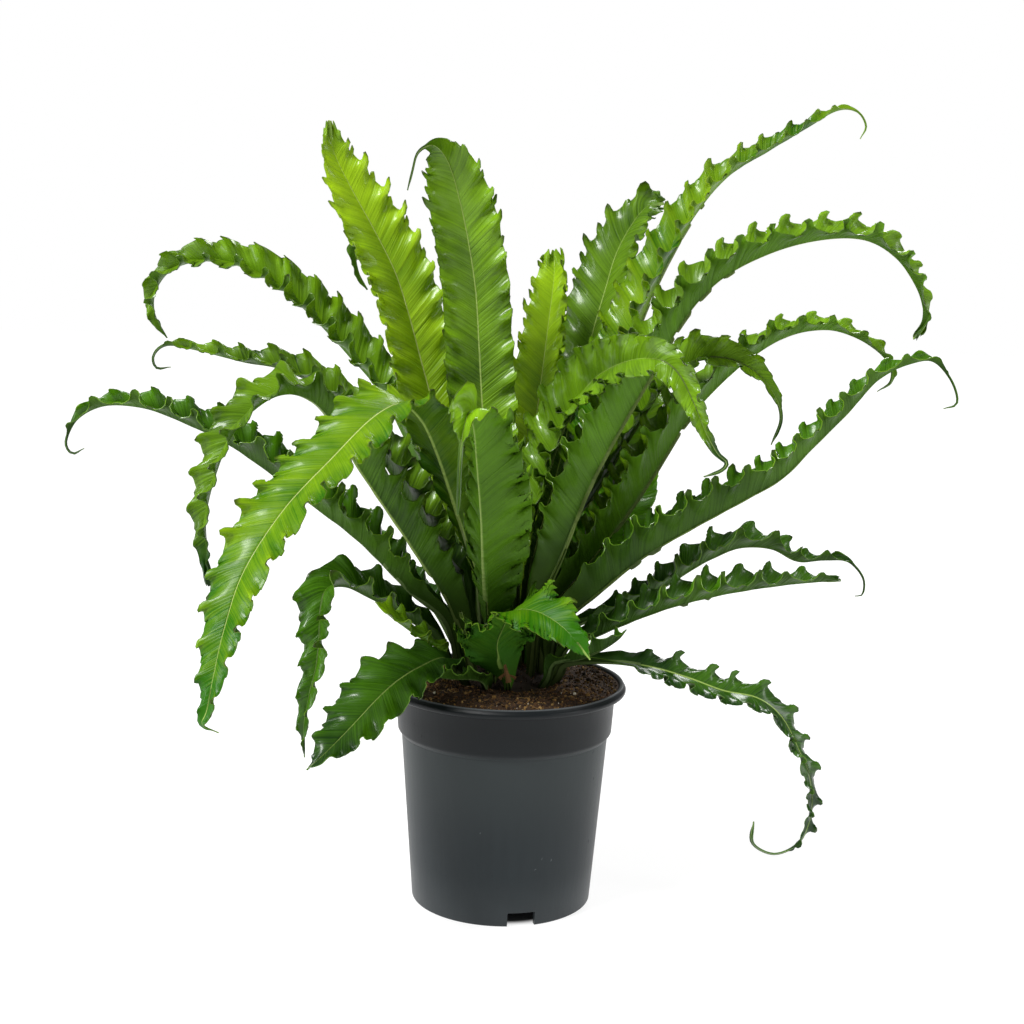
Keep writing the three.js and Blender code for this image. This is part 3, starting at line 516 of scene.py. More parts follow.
@dataclass(frozen=True)
class LeafFinish:
    """The finish of one face of the fronds of one age: slanting veins, a rib and an edge.

    A fade is the stretch of values over which something appears or goes, a scale counts
    features to the metre, and a share is how far a pattern goes from deep to light. The
    colour carries painted light that grows with height, painted shade in the plant's heart
    and painted light and shade on the crests and troughs of the waves.
    """

    name: str
    deep: str
    light: str
    rib: str
    root: str
    edge: str = "2f3a10"
    roughness: float = 0.34
    sheen: float = 0.17
    wax: float = 0.4
    wax_roughness: float = 0.19
    wax_index: float = 1.42
    veins: float = 1.0
    pleats: float = 1.0
    fine_scale: float = 620.0
    wide_scale: float = 150.0
    mottle_scale: float = 45.0
    cloud_scale: float = 13.0
    fine_share: float = 0.6
    wide_share: float = 0.34
    crest_painted_light: float = 0.2
    height_painted_light: float = 0.85
    middle_height: float = 0.44
    mottle_share: float = 0.4
    cloud_share: float = 1.1
    rib_fade: Pair = (0.9, 2.1)
    rib_taper: float = 1.3
    rib_cover: float = 0.88
    root_fade: Pair = (0.0, 0.26)
    root_cover: float = 0.7
    heart_radii: Pair = (0.07, 0.17)
    heart_heights: Pair = (0.25, 0.37)
    heart_painted_shade: float = 0.6
    heart_dulling: float = 0.85
    tooth_fade: Pair = (0.35, 1.0)
    tooth_cover: float = 0.8
    fine_relief: float = 0.35
    relief_depth: float = 0.0012
    fine_roughness: float = 0.14
    mottle_roughness: float = 0.25
    plain_roughness: float = 0.1
    heart_roughness: float = 0.25

    def material(self) -> bpy.types.Material:
        """Makes the material from the values that a blade carries at its points."""
        shader = Shader(self.name)
        vein, span = shader.attribute("vein"), shader.attribute("span")
        along, tone = shader.attribute("along"), shader.attribute("tone")
        tooth, crest = shader.attribute("tooth"), shader.attribute("crest")
        plain = shader.attribute("plain")
        clear = self.veins * (1.0 - plain)
        fine = (shader.streaks(vein, self.fine_scale, 3.0) - 0.5) * clear
        wide = (shader.streaks(vein, self.wide_scale) - 0.5) * clear
        mottle = shader.noise(shader.place(), self.mottle_scale, 4.0) - 0.5
        cloud = shader.noise(shader.place(), self.cloud_scale, 2.0) - 0.5
        # The crest term paints light on the crests of the waves and shade in their troughs.
        share = tone + fine * self.fine_share + wide * self.wide_share + crest * self.crest_painted_light
        # Painted light: the blades are made lighter the higher they stand and darker lower down.
        share = share + (shader.height() - self.middle_height) * self.height_painted_light
        share = shader.held(share + mottle * self.mottle_share + cloud * self.cloud_share)
        colour = shader.colours(linear(self.deep), linear(self.light), share)
        rib_edge = abs(span) * MM_PER_METRE + along * self.rib_taper
        on_rib = 1.0 - shader.between(rib_edge, *self.rib_fade)
        colour = shader.colours(colour, linear(self.rib), on_rib * self.rib_cover)
        at_root = 1.0 - shader.between(along, *self.root_fade)
        colour = shader.colours(colour, linear(self.root), at_root * self.root_cover)
        # Painted shade: near the axis and low in the plant, where the leaves shade each other, the
        # colour is pulled to the deep green, the coat is dulled and the surface roughened.
        heart = 1.0 - shader.between(shader.from_axis(), *self.heart_radii)
        heart = heart * (1.0 - shader.between(shader.height(), *self.heart_heights))
        colour = shader.colours(colour, linear(self.deep), heart * self.heart_painted_shade)
        at_tooth = shader.between(tooth, *self.tooth_fade) * self.tooth_cover
        colour = shader.colours(colour, linear(self.edge), at_tooth)
        relief = fine * self.fine_relief + wide * self.pleats
        rough = self.roughness + fine * self.fine_roughness + mottle * self.mottle_roughness
        rough = rough + plain * self.plain_roughness + heart * self.heart_roughness
        gloss = shader.attribute("gloss") * self.wax
        given = {
            "Base Color": colour,
            "Roughness": shader.held(rough),
            "Normal": shader.bump(relief, self.relief_depth),
            "Specular IOR Level": self.sheen,
            "Coat Weight": gloss * (1.0 - heart * self.heart_dulling),
            "Coat Roughness": self.wax_roughness,
            "Coat IOR": self.wax_index,
        }
        return shader.finish(given)


LEAF_FINISHES: dict[Kind, tuple[LeafFinish, LeafFinish, LeafFinish]] = {
    Kind.MATURE: (
        LeafFinish("leaf_mature_upper", "163c01", "84b318", "b9cf74", "2a380a", pleats=1.2),
        LeafFinish("leaf_mature_under", "132e03", "5c8a18", "8fa65a", "38300f",
                   roughness=0.42, sheen=0.12, wax=0.1, veins=0.8, pleats=2.2),
        LeafFinish("leaf_mature_rim", "2c4a0a", "5e8019", "5e8019", "3d4a14"),
    ),
    Kind.YOUNG: (
        LeafFinish("leaf_young_upper", "2b6401", "a3ca16", "dbe892", "33480e", pleats=1.1),
        LeafFinish("leaf_young_under", "265206", "84ac24", "a9c465", "455218",
                   roughness=0.42, sheen=0.12, wax=0.14, veins=0.8, pleats=2.2),
        LeafFinish("leaf_young_rim", "55760f", "92ae30", "92ae30", "3f5a14"),
    ),
    Kind.OLD: (
        LeafFinish("leaf_old_upper", "143602", "5c960f", "a4bd62", "28340e", pleats=1.5),
        LeafFinish("leaf_old_under", "183206", "50781c", "7f985a", "38300f",
                   roughness=0.44, sheen=0.12, wax=0.1, veins=0.8, pleats=2.2),
        LeafFinish("leaf_old_rim", "3f640f", "789e26", "789e26", "34401a"),
    ),
}


@dataclass(frozen=True)
class PotFinish:
    """Matte anthracite moulded plastic with a soft sheen, faint flow lines and light scuffs.

    Heights are in metres above the ground, and a scale counts features to the metre.
    The collar carries painted shade, the upper body painted light and the lip a painted
    highlight line.
    """

    name: str = "pot_plastic"
    dark: str = "1c2225"
    pale: str = "2a3134"
    lit_body: str = "303637"
    scuff_and_highlight: str = "8b9092"
    roughness: float = 0.36
    shine: float = 0.22
    cloud_scale: float = 14.0
    cloud_share: float = 0.6
    flow_scale: float = 160.0
    flow_stretch: float = 0.06
    flow_share: float = 0.4
    grain_scale: float = 2400.0
    grain_relief: float = 0.4
    relief_depth: float = 0.00012
    speck_scale: float = 170.0
    speck_stretch: float = 0.7
    speck_fade: Pair = (0.735, 0.76)
    speck_cover: float = 0.6
    worn_scale: float = 19.0
    worn_fade: Pair = (0.5, 0.62)
    dust_heights: Pair = (0.0, 0.05)
    dust_cover: float = 0.12
    lit_body_heights: Pair = (0.06, 0.15)
    collar_heights: Pair = (0.154, 0.163)
    collar_painted_shade: float = 0.5
    lip_highlight_heights: Pair = (0.2035, 0.2048)
    lip_highlight_cover: float = 0.3
    cloud_roughness: float = 0.1
    speck_roughness: float = 0.2

    def material(self) -> bpy.types.Material:
        """Makes the material on the pot's own coordinates."""
        shader = Shader(self.name)
        cloud = shader.noise(shader.place(), self.cloud_scale, 3.0)
        flow = shader.noise(shader.place((1.0, 1.0, self.flow_stretch)), self.flow_scale, 3.0)
        grain = shader.noise(shader.place(), self.grain_scale, 2.0)
        share = cloud * self.cloud_share + flow * self.flow_share
        colour = shader.colours(linear(self.dark), linear(self.pale), share)
        spots = shader.noise(shader.place((1.0, 1.0, self.speck_stretch)), self.speck_scale, 2.0)
        specks = shader.between(spots, *self.speck_fade)
        worn = shader.between(shader.noise(shader.place(), self.worn_scale, 2.0), *self.worn_fade)
        colour = shader.colours(colour, linear(self.scuff_and_highlight), specks * worn * self.speck_cover)
        dust = 1.0 - shader.between(shader.height(), *self.dust_heights)
        colour = shader.colours(colour, linear(self.scuff_and_highlight), dust * cloud * self.dust_cover)
        on_collar = shader.between(shader.height(), *self.collar_heights)
        # Painted light: the body is lightened towards its top, against the shade that the leaves
        # above cast on it.
        lit_body_share = shader.between(shader.height(), *self.lit_body_heights)
        colour = shader.colours(colour, linear(self.lit_body), lit_body_share)
        # Painted shade: the collar, which the leaves above shade, is darkened to the dark colour
        # and then towards black.
        colour = shader.colours(colour, linear(self.dark), on_collar)
        colour = shader.colours(colour, BLACK, on_collar * self.collar_painted_shade)
        # Painted highlight: a thin light line round the top edge of the rim's lip, in the colour
        # that the real scuffs and dust also use.
        lip_highlight = shader.between(shader.height(), *self.lip_highlight_heights)
        colour = shader.colours(colour, linear(self.scuff_and_highlight), lip_highlight * self.lip_highlight_cover)
        rough = self.roughness + cloud * self.cloud_roughness + specks * self.speck_roughness
        normal = shader.bump(grain * self.grain_relief + flow, self.relief_depth)
        given = {"Base Color": colour, "Roughness": rough, "Normal": normal}
        return shader.finish(given | {"Specular IOR Level": self.shine})


@dataclass(frozen=True)
class EarthFinish:
    """Potting soil or fibre: every crumb carries its own shade, with fine speckles over it."""

    name: str
    shades: tuple[str, ...]
    roughness: float = 0.92
    grain: float = 900.0
    grain_share: float = 0.5
    cloud_scale: float = 60.0
    cloud_share: float = 0.3
    relief_depth: float = 0.0006

    def material(self) -> bpy.types.Material:
        """Makes the material from the shade that each crumb carries."""
        shader = Shader(self.name)
        speck = shader.noise(shader.place(), self.grain, 4.0, 0.65)
        cloud = shader.noise(shader.place(), self.cloud_scale, 3.0)
        shade = shader.attribute("shade") + (speck - 0.5) * self.grain_share
        shade = shade + (cloud - 0.5) * self.cloud_share
        last = len(self.shades) - 1
        stops = [(i / last, linear(colour)) for i, colour in enumerate(self.shades)]
        given = {
            "Base Color": shader.ramp(shader.held(shade), stops),
            "Roughness": self.roughness,
            "Normal": shader.bump(speck, self.relief_depth),
        }
        return shader.finish(given)


@dataclass(frozen=True)
class FloorFinish:
    """The plain pale studio floor."""

    name: str = "floor_paper"
    colour: str = "8c8c8c"
    roughness: float = 0.9
    shine: float = 0.1
    glow: float = 0.84
    pot_shadow: Pair = (0.068, 0.079)

    def material(self) -> bpy.types.Material:
        """Makes the plain material, which glows a little except under the pot."""
        shader = Shader(self.name)
        lit = shader.between(shader.from_axis(), *self.pot_shadow)
        given = {
            "Base Color": linear(self.colour),
            "Roughness": self.roughness,
            "Specular IOR Level": self.shine,
            "Emission Color": shader.colours(BLACK, WHITE, lit),
            "Emission Strength": self.glow,
        }
        return shader.finish(given)


def take(piece: bpy.types.Object) -> None:
    """Selects one object alone and makes it the active one."""
    bpy.ops.object.select_all(action="DESELECT")
    piece.select_set(True)
    bpy.context.view_layer.objects.active = piece


def primitive(add: Callable[..., set[str]], **sizes: object) -> bpy.types.Object:
    """Adds a primitive with nothing else selected, and gives it.

    Args:
        add: The operator that adds the primitive.
        **sizes: Its sizes, place and counts, in metres.

    Returns:
        The new object.
    """
    bpy.ops.object.select_all(action="DESELECT")
    add(**sizes)
    return bpy.context.object


def smooth(piece: bpy.types.Object, degrees: float) -> None:
    """Shades a piece smooth, with a crease wherever its faces meet at more than an angle."""
    take(piece)
    bpy.ops.object.shade_smooth_by_angle(angle=math.radians(degrees))


def modify(piece: bpy.types.Object, kind: str, **settings: object) -> None:
    """Adds a modifier with those settings to a piece and applies it."""
    take(piece)
    modifier = piece.modifiers.new(kind.lower(), kind)
    for name, value in settings.items():
        setattr(modifier, name, value)
    bpy.ops.object.modifier_apply(modifier=modifier.name)


def points_of(piece: bpy.types.Object) -> np.ndarray:
    """Gives the places of a mesh's points, in metres."""
    places = np.zeros(len(piece.data.vertices) * 3)
    piece.data.vertices.foreach_get("co", places)
    return places.reshape(-1, 3)


def set_points(piece: bpy.types.Object, places: np.ndarray) -> None:
    """Moves a mesh's points to those places, in metres."""
    piece.data.vertices.foreach_set("co", places.astype(np.float32).ravel())
    piece.data.update()


def carry(piece: bpy.types.Object, name: str, values: np.ndarray) -> None:
    """Stores a value at each point of a mesh, for its material to read."""
    layer = piece.data.attributes.new(name, "FLOAT", "POINT")
    layer.data.foreach_set("value", np.asarray(values, np.float32).ravel())


def turn_up(name: str, profile: Sequence[tuple[float, float]], sides: int) -> bpy.types.Object:
    """Draws a circle up into a turned body, ring by ring, and closes both its ends.

    Args:
        name: The piece's name.
        profile: Radius and height of each ring, in millimetres.
        sides: How many points a ring has.

    Returns:
        The new piece.
    """
    radius, height = profile[0]
    place = (0, 0, height * MM)
    add = bpy.ops.mesh.primitive_circle_add
    piece = primitive(add, vertices=sides, radius=radius * MM, location=place)
    piece.name = name
    bpy.ops.object.transform_apply(location=True)
    bpy.ops.object.mode_set(mode="EDIT")
    bpy.ops.mesh.select_all(action="SELECT")
    bpy.ops.mesh.edge_face_add()
    bpy.ops.mesh.select_mode(type="EDGE")
    for (radius, height), (wide, high) in zip(profile, profile[1:]):
        lift = {"value": (0, 0, (high - height) * MM)}
        bpy.ops.mesh.extrude_edges_move(TRANSFORM_OT_translate=lift)
        share = wide / radius
        bpy.ops.transform.resize(value=(share, share, 1), center_override=(0, 0, high * MM))
    bpy.ops.mesh.edge_face_add()
    bpy.ops.mesh.select_all(action="SELECT")
    bpy.ops.mesh.normals_make_consistent(inside=False)
    bpy.ops.object.mode_set(mode="OBJECT")
    return piece


def round_axis(radius: float, bearing: float) -> Pair:
    """Gives the place in metres at a radius in millimetres and a bearing in radians."""
    return (radius * MM * math.cos(bearing), radius * MM * math.sin(bearing))


def cut_away(piece: bpy.types.Object, cutter: bpy.types.Object) -> None:
    """Cuts one solid out of another and removes the cutter."""
    modify(piece, "BOOLEAN", operation="DIFFERENCE", solver="EXACT", object=cutter)
    bpy.data.objects.remove(cutter)


def hand_over(piece: bpy.types.Object, node: str) -> None:
    """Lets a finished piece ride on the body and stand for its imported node.

    Args:
        piece: The finished piece, at the origin.
        node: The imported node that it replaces.
    """
    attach(piece, BODY)
    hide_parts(node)
    LOG.info("%s stands for %s with %d faces", piece.name, node, len(piece.data.polygons))


class RibLine:
    """A frond's rib as a smooth line, with the blade's frame carried along it."""

    LENGTH_STEPS = 240
    FRAME_STEPS = 120
    ROOT_HEIGHT = 197.0
    COLLAR_HEIGHT = 214.0
    STALK_MEETING = 60.0
    STATIONS_PER_KNOT = 1.35
    EVENNESS = 0.6
    STEP_ASIDE = 1e-4

    def __init__(self, plan: FrondPlan) -> None:
        """Lays the line through the root, the collar and the plan's points."""
        bearing = math.radians(plan.bearing)
        out = np.array([math.cos(bearing), math.sin(bearing), 0.0]) * plan.ring
        spread = 1 + (self.COLLAR_HEIGHT - self.ROOT_HEIGHT) / self.STALK_MEETING
        root = out + (0, 0, self.ROOT_HEIGHT)
        collar = out * spread + (0, 0, self.COLLAR_HEIGHT)
        knots = [root, collar, *(EYE.spot(*point) for point in plan.rib)]
        self.knot_count = len(knots)
        before, after = 2 * knots[0] - knots[1], 2 * knots[-1] - knots[-2]
        self.knots = np.array([before, *knots, after])
        self.turns = np.linspace(0, 1, self.LENGTH_STEPS + 1)
        steps = np.linalg.norm(np.diff(self.at(self.turns), axis=0), axis=1)
        self.lengths = np.concatenate([[0.0], np.cumsum(steps)])
        self.length = float(self.lengths[-1])
        self.twist, self.turned = math.radians(plan.twist), plan.turned
        side = np.array([-math.sin(bearing), math.cos(bearing), 0.0])
        sides = []
        for along in self.along(np.linspace(0, 1, self.FRAME_STEPS + 1)):
            side = side - along * side.dot(along)
            side /= np.linalg.norm(side)
            sides.append(side)
        self.sides = np.array(sides)

    def at(self, turns: np.ndarray) -> np.ndarray:
        """Gives points of the smooth line, evenly by its knots from 0 to 1."""
        count = self.knot_count - 1
        spots = np.clip(turns, 0, 1) * count
        first = np.minimum(spots.astype(int), count - 1)
        part = (spots - first)[:, None]
        before, start, end, after = (self.knots[first + i] for i in range(4))
        leaving, arriving = (end - before) / 2, (after - start) / 2
        square = 3 * (end - start) - 2 * leaving - arriving
        cube = 2 * (start - end) + leaving + arriving
        return start + part * (leaving + part * (square + part * cube))

    def turns_at(self, places: np.ndarray) -> np.ndarray:
        """Finds the turns for places that run evenly along the length."""
        return np.interp(places * self.length, self.lengths, self.turns)

    def along(self, places: np.ndarray) -> np.ndarray:
        """Gives the directions in which the line runs at those places."""
        turns = self.turns_at(places)
        ahead = np.minimum(turns + self.STEP_ASIDE, 1)
        behind = np.maximum(turns - self.STEP_ASIDE, 0)
        steps = self.at(ahead) - self.at(behind)
        return steps / np.linalg.norm(steps, axis=1)[:, None]

    def frame(self, places: np.ndarray) -> tuple[np.ndarray, np.ndarray, np.ndarray, np.ndarray]:
        """Gives the line's frame at those places.

        Args:
            places: Places from 0 at the root to 1 at the tip.

        Returns:
            The points of the line, and the directions along it, to its side and up.
        """
        along = self.along(places)
        spots = places * self.FRAME_STEPS
        first = np.minimum(spots.astype(int), self.FRAME_STEPS - 1)
        side = mix(self.sides[first], self.sides[first + 1], (spots - first)[:, None])
        side -= along * np.sum(side * along, axis=1)[:, None]
        side /= np.linalg.norm(side, axis=1)[:, None]
        turn = (self.twist * ease(places / self.turned))[:, None]
        side = side * np.cos(turn) + np.cross(along, side) * np.sin(turn)
        return self.at(self.turns_at(places)), along, side, np.cross(along, side)

    def stations(self) -> np.ndarray:
        """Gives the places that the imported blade's middle lines have their points at."""
        count = int(self.STATIONS_PER_KNOT * (self.knot_count - 1) + 0.5)
        spots = np.linspace(0, self.LENGTH_STEPS, count + 1)
        by_points = np.interp(spots, np.arange(self.LENGTH_STEPS + 1), self.lengths) / self.length
        return mix(by_points, np.linspace(0, 1, count + 1), self.EVENNESS)


@dataclass
class Frond:
    """One frond: a flat grid laid along its rib, folded, waved, toothed and given thickness.

    Lengths are in millimetres and angles in degrees. A stretch is a start and a length: along
    the rib from 0 at the root to 1 at the tip, or across from 0 on the rib to 1 at the edge.
    """

    plan: FrondPlan
    seed: int
    blade: float = 0.8
    keel: float = 3.2
    keel_width: float = 2.0
    keel_fall: float = 0.8
    ridge: float = 0.45
    ridge_width: float = 0.9
    ridge_fall: float = 0.6
    blunt_tip: float = 4.5
    blunt_end: Pair = (0.75, 5.0)
    thin_end: Pair = (0.25, 12.0)
    stalk_half_width: float = 4.5
    stalk_fold: float = 58.0
    stalk_fold_end: float = 0.3
    rib_fold: float = 14.0
    swing_step: float = 170.0
    swing_fold: float = 3.0
    tooth_step: float = 13.5
    tooth_lift: float = 1.5
    tooth_lift_share: float = 0.16
    tooth_stretch: float = 1.6
    tooth_point: float = 3.2
    tooth_hook: float = 2.6
    tooth_bend: float = 2.2
    tooth_shift: float = 0.3
    tooth_sharpness: float = 2.2
    full_width: float = 18.0
    scale_limits: Pair = (0.3, 1.1)
    wave_strengths: Pair = (0.75, 1.2)
    point_strengths: Pair = (0.3, 1.3)
    tail_margin: float = 0.015
    waves_start: Pair = (0.16, 0.16)
    waves_fade: float = 0.04
    teeth_past_tail: float = 0.005
    teeth_fade: float = 0.025
    blunt_teeth_fade: float = 0.02
    hooks_start: Pair = (0.68, 0.16)
    tip_start: Pair = (0.955, 0.045)
    tip_teeth: float = 2.6
    tip_forward: float = 1.3
    tip_turns: Pair = (11.0, 8.0)
    inner: Pair = (0.18, 0.82)
    inner_rise: float = 1.4
    outer: Pair = (0.62, 0.38)
    edge: Pair = (0.78, 0.22)
    edge_rise: float = 1.3
    lip_edge: Pair = (0.86, 0.14)
    lip: float = 1.3
    loop: float = 3.0
    swell: Pair = (0.75, 0.5)
    swell_step: float = 31.0
    coarse_share: float = 0.7
    fine_share: float = 0.42
    slant: float = 0.7
    roll_from: float = 0.8
    roll_radius: float = 0.2
    least_curl: float = 0.01
    vein_step: float = 0.31
    vein_gap: float = 0.11
    plain_width: Pair = (4.0, 6.0)
    tail_tone: float = 0.25
    tail_tone_stretch: Pair = (-0.06, 0.08)
    rows_per_tooth: int = 9
    rows_per_finer: int = 7
    tail_row: float = 3.0
    reaches: tuple[float, ...] = (0.03, 0.1, 0.24, 0.4, 0.56, 0.7, 0.8, 0.88, 0.94, 0.98, 1.0)
    smooth_angle: float = 62.0
    line: RibLine = field(init=False)

    def __post_init__(self) -> None:
        """Lays the rib and draws the strengths of the waves along both edges."""
        self.line = RibLine(self.plan)
        self.teeth = max(8, int(self.line.length * self.plan.tail / self.tooth_step + 0.5))
        past_tail = self.line.stations() > self.plan.tail + self.tail_margin
        draw = Draw(self.seed)
        sides, count = (-1, 1), self.teeth + 1
        self.strengths = {}
        for half in sides:
            drawn = draw.several(count + int(np.sum(past_tail)))[:count]
            spots = np.arange(count)
            crests = np.where((spots + (0 if half > 0 else 1)) % 2 == 0, 1.0, -1.0)
            fading = self.ends(spots / self.teeth * self.plan.tail)
            self.strengths[half] = crests * mix(*self.wave_strengths, drawn) * fading
        self.points = {half: mix(*self.point_strengths, draw.several(count)) for half in sides}
        self.bends = {half: mix(-1.0, 1.0, draw.several(count)) for half in sides}
        self.shifts = {half: self.tooth_shift * mix(-1, 1, draw.several(count)) for half in sides}
        self.phases = draw.several(4) * 2 * math.pi

    def ends(self, places: np.ndarray) -> np.ndarray:
        """Fades the waves out towards the stalk and the tail."""
        to_tail = ease((self.plan.tail - places) / self.waves_fade)
        return ease_over(places, self.waves_start) * to_tail

    def half_width(self, places: np.ndarray) -> np.ndarray:
        """Gives the blade's half width in millimetres at places along the rib."""
        plan = self.plan
        rising = mix(self.stalk_half_width, plan.width, ease(places / plan.widest))
        past = np.clip((places - plan.widest) / (plan.tail - plan.widest), 0, 1)
        falling = mix(plan.width, plan.tip, past**plan.blunt)
        width = np.where(places < plan.widest, rising, falling)
        share, length = self.blunt_end if self.is_blunt() else self.thin_end
        return width * mix(share, 1.0, ease((1 - places) * self.line.length / length))

    def is_blunt(self) -> bool:
        """Tells whether the blade ends wide enough to carry teeth round its tip."""
        return self.plan.tip > self.blunt_tip

    def frilled(self, places: np.ndarray) -> np.ndarray:
        """Fades the small waves and the teeth in above the stalk, and ends them at the tail."""
        last = (1.0 if self.is_blunt() else self.plan.tail) + self.teeth_past_tail
        fade = self.blunt_teeth_fade if self.is_blunt() else self.teeth_fade
        return ease_over(places, self.waves_start) * ease((last - places) / fade)

    def hooked(self, places: np.ndarray) -> np.ndarray:
        """Makes the teeth longer near the tip of a frond that has hooks there."""
        return mix(1.0, self.plan.hooks, ease_over(places, self.hooks_start))

    def wave(self, half: int, spots: np.ndarray) -> np.ndarray:
        """Gives the wave of an edge at spots counted in teeth, from crest to trough."""
        held = np.clip(spots, 0, self.teeth - 1e-6)
        first = held.astype(int)
        share = (1 - np.cos(math.pi * (held - first))) / 2
        strengths = self.strengths[half]
        return mix(strengths[first], strengths[first + 1], share)

    def jittered(self, half: int, spots: np.ndarray) -> np.ndarray:
        """Moves spots counted in teeth along, so that the teeth stand at uneven steps."""
        return spots - np.interp(spots, np.arange(self.teeth + 1), self.shifts[half])

    def tooth(self, half: int, spots: np.ndarray) -> tuple[np.ndarray, np.ndarray]:
        """Finds how far the pointed teeth of an edge stand out, and how far they bend.

        Args:
            half: -1 or 1, the half of the blade.
            spots: Spots along the edge, counted in teeth.

        Returns:
            The shares of a full tooth, and the same shares with the sign of each bend.
        """
        spots = self.jittered(half, spots)
        nearest = np.clip(np.rint(spots), 0, self.teeth).astype(int)
        off = np.clip(1 - 2 * np.abs(spots - nearest), 0, 1)
        standing = off**self.tooth_sharpness * self.points[half][nearest]
        return standing, standing * self.bends[half][nearest]

    def rows(self) -> np.ndarray:
        """Gives the places along the rib that the grid's rows lie at."""
        per_tooth = self.rows_per_tooth + self.rows_per_finer * (self.plan.finer - 1)
        toothed = np.linspace(0, self.plan.tail, self.teeth * per_tooth + 1)
        tail = max(3, int((1 - self.plan.tail) * self.line.length / self.tail_row))
        return np.concatenate([toothed, np.linspace(self.plan.tail, 1, tail + 1)[1:]])

    def columns(self) -> np.ndarray:
        """Gives the grid's columns from edge to edge, as shares of the half width."""
        reaches = np.array(self.reaches)
        return np.concatenate([-reaches[::-1], [0.0], reaches])

    def surface(self, rows: np.ndarray, columns: np.ndarray) -> dict[str, np.ndarray]:
        """Works out the blade's upper surface.

        Args:
            rows: Places along the rib.
            columns: Shares of the half width, below 0 on one side of the rib.

        Returns:
            The places in metres, and the values that the finish reads, row by row.
        """
        plan, line = self.plan, self.line
        centre, along, side, facing = (part[:, None] for part in line.frame(rows))
        width, place = self.half_width(rows)[:, None], rows[:, None]
        reach = np.abs(columns)[None, :]
        half = np.where(columns < 0, -1.0, 1.0)[None, :]
        per_tooth = self.teeth / plan.tail
        leading = (place + self.slant * (1 - reach) * width / line.length) * per_tooth

        # The waves slant forward with the veins, and the teeth stand straight out of the edge.
        coarse = np.zeros((len(rows), len(columns)))
        fine, sway, tooth, bend_by = (np.zeros_like(coarse) for _ in range(4))
        for one in (-1, 1):
            mine = columns * one > 0
            spots = self.jittered(one, leading[:, mine])
            coarse[:, mine] = self.wave(one, spots)
            turn = 2 * math.pi * plan.finer * spots
            fine[:, mine], sway[:, mine] = np.cos(turn), np.sin(2 * turn)
            spots = np.broadcast_to(place * per_tooth, coarse.shape)[:, mine]
            tooth[:, mine], bend_by[:, mine] = self.tooth(one, spots)
        fading, frilled = self.ends(rows)[:, None], self.frilled(rows)[:, None]
        scale = np.clip(width / self.full_width, *self.scale_limits)
        biting = frilled * self.hooked(rows)[:, None]
        inner, outer = ease_over(reach, self.inner) ** self.inner_rise, ease_over(reach, self.outer)
        near_edge = ease_over(reach, self.edge) ** self.edge_rise
        swelling = np.sin(place * line.length / self.swell_step + self.phases[2] * half)
        swell = self.swell[0] + self.swell[1] * swelling
        ripple = fine * mix(plan.pleat * inner, 1.0, outer) * swell * frilled / plan.finer**0.5

        # How far the blade is lifted off its fold, stretched outwards and pulled forward.
        lift = self.coarse_share * coarse * inner + self.fine_share * ripple
        # The crest is how far the waves lift the blade; the finish paints light on it and shade in
        # the troughs.
        crest = lift * reach
        lift = lift * (self.tooth_lift + self.tooth_lift_share * width) * plan.wave
        standing = tooth * near_edge * biting * scale
        lift = lift + bend_by * near_edge * biting * scale * self.tooth_bend
        lift = lift - self.lip * ease_over(reach, self.lip_edge) ** 2 * scale * fading
        lobed = 1 + (plan.lobes - 1) * scale
        stretch = coarse * self.tooth_stretch * lobed * reach + standing * self.tooth_point
        forward = standing * self.tooth_hook
        forward += plan.ruffle * self.loop / plan.finer * sway * outer * frilled * scale
        if self.is_blunt():
            at_tip = ease_over(place, self.tip_start) * self.tip_teeth
            forward_turn, lift_turn = (columns[None, :] * turns for turns in self.tip_turns)
            forward += at_tip * self.tip_forward * np.sin(forward_turn + self.phases[3])
            lift = lift + at_tip * np.cos(lift_turn + self.phases[0])

        # The edge rolls up past a share of the width, and the rib is a low ridge.
        span = width * reach + stretch
        rolled = width * self.roll_from
        bend = self.roll_radius * width / max(plan.curl, self.least_curl)
        over = np.maximum(span - rolled, 0) / bend
        flat = np.where(span > rolled, rolled + bend * np.sin(over), span)
        lift = lift + bend * (1 - np.cos(over)) + self.blade / 2
        on_rib = np.exp(-((span / self.ridge_width) ** 2))
        lift += self.ridge * on_rib * (1 - self.ridge_fall * place)

        # The two halves fold up about the rib, more at the stalk, and swing a little.
        turn = 2 * math.pi * place * line.length / self.swing_step
        swing = np.sin(turn + self.phases[0] + half * self.phases[1])
        swing_fold = self.swing_fold * swing * ease(place * 3) * reach
        edge_fold = mix(self.stalk_fold, plan.fold, ease(place / self.stalk_fold_end))
        fold = np.radians(edge_fold + self.rib_fold * (1 - reach) + swing_fold)
        out = (half * (flat * np.cos(fold) - lift * np.sin(fold)))[..., None]
        rise = (flat * np.sin(fold) + lift * np.cos(fold))[..., None]
        places = centre + side * out + facing * rise + along * forward[..., None]

        near_rib = np.exp(-((span / self.keel_width) ** 2))
        veins = leading / per_tooth * line.length * MM
        narrow = (width - self.plain_width[0]) / self.plain_width[1]
        past_tail = ease_over(place - plan.tail, self.tail_tone_stretch)
        made = {
            "places": places * MM,
            "thick": (self.blade + self.keel * (1 - place) ** self.keel_fall * near_rib) * MM,
            "vein": veins + self.seed * self.vein_step + half * self.vein_gap,
            "span": half * span * MM * plan.ribbed,
            "along": place,
            "tooth": tooth * near_edge * frilled,
            "crest": crest,
            "plain": 1 - fading * ease(narrow),
            "tone": plan.tone * mix(1.0, self.tail_tone, past_tail),
            "gloss": np.full(span.shape, plan.gloss),
        }
        return {
            name: values if values.ndim == 3 else np.broadcast_to(values, span.shape)
            for name, values in made.items()
        }

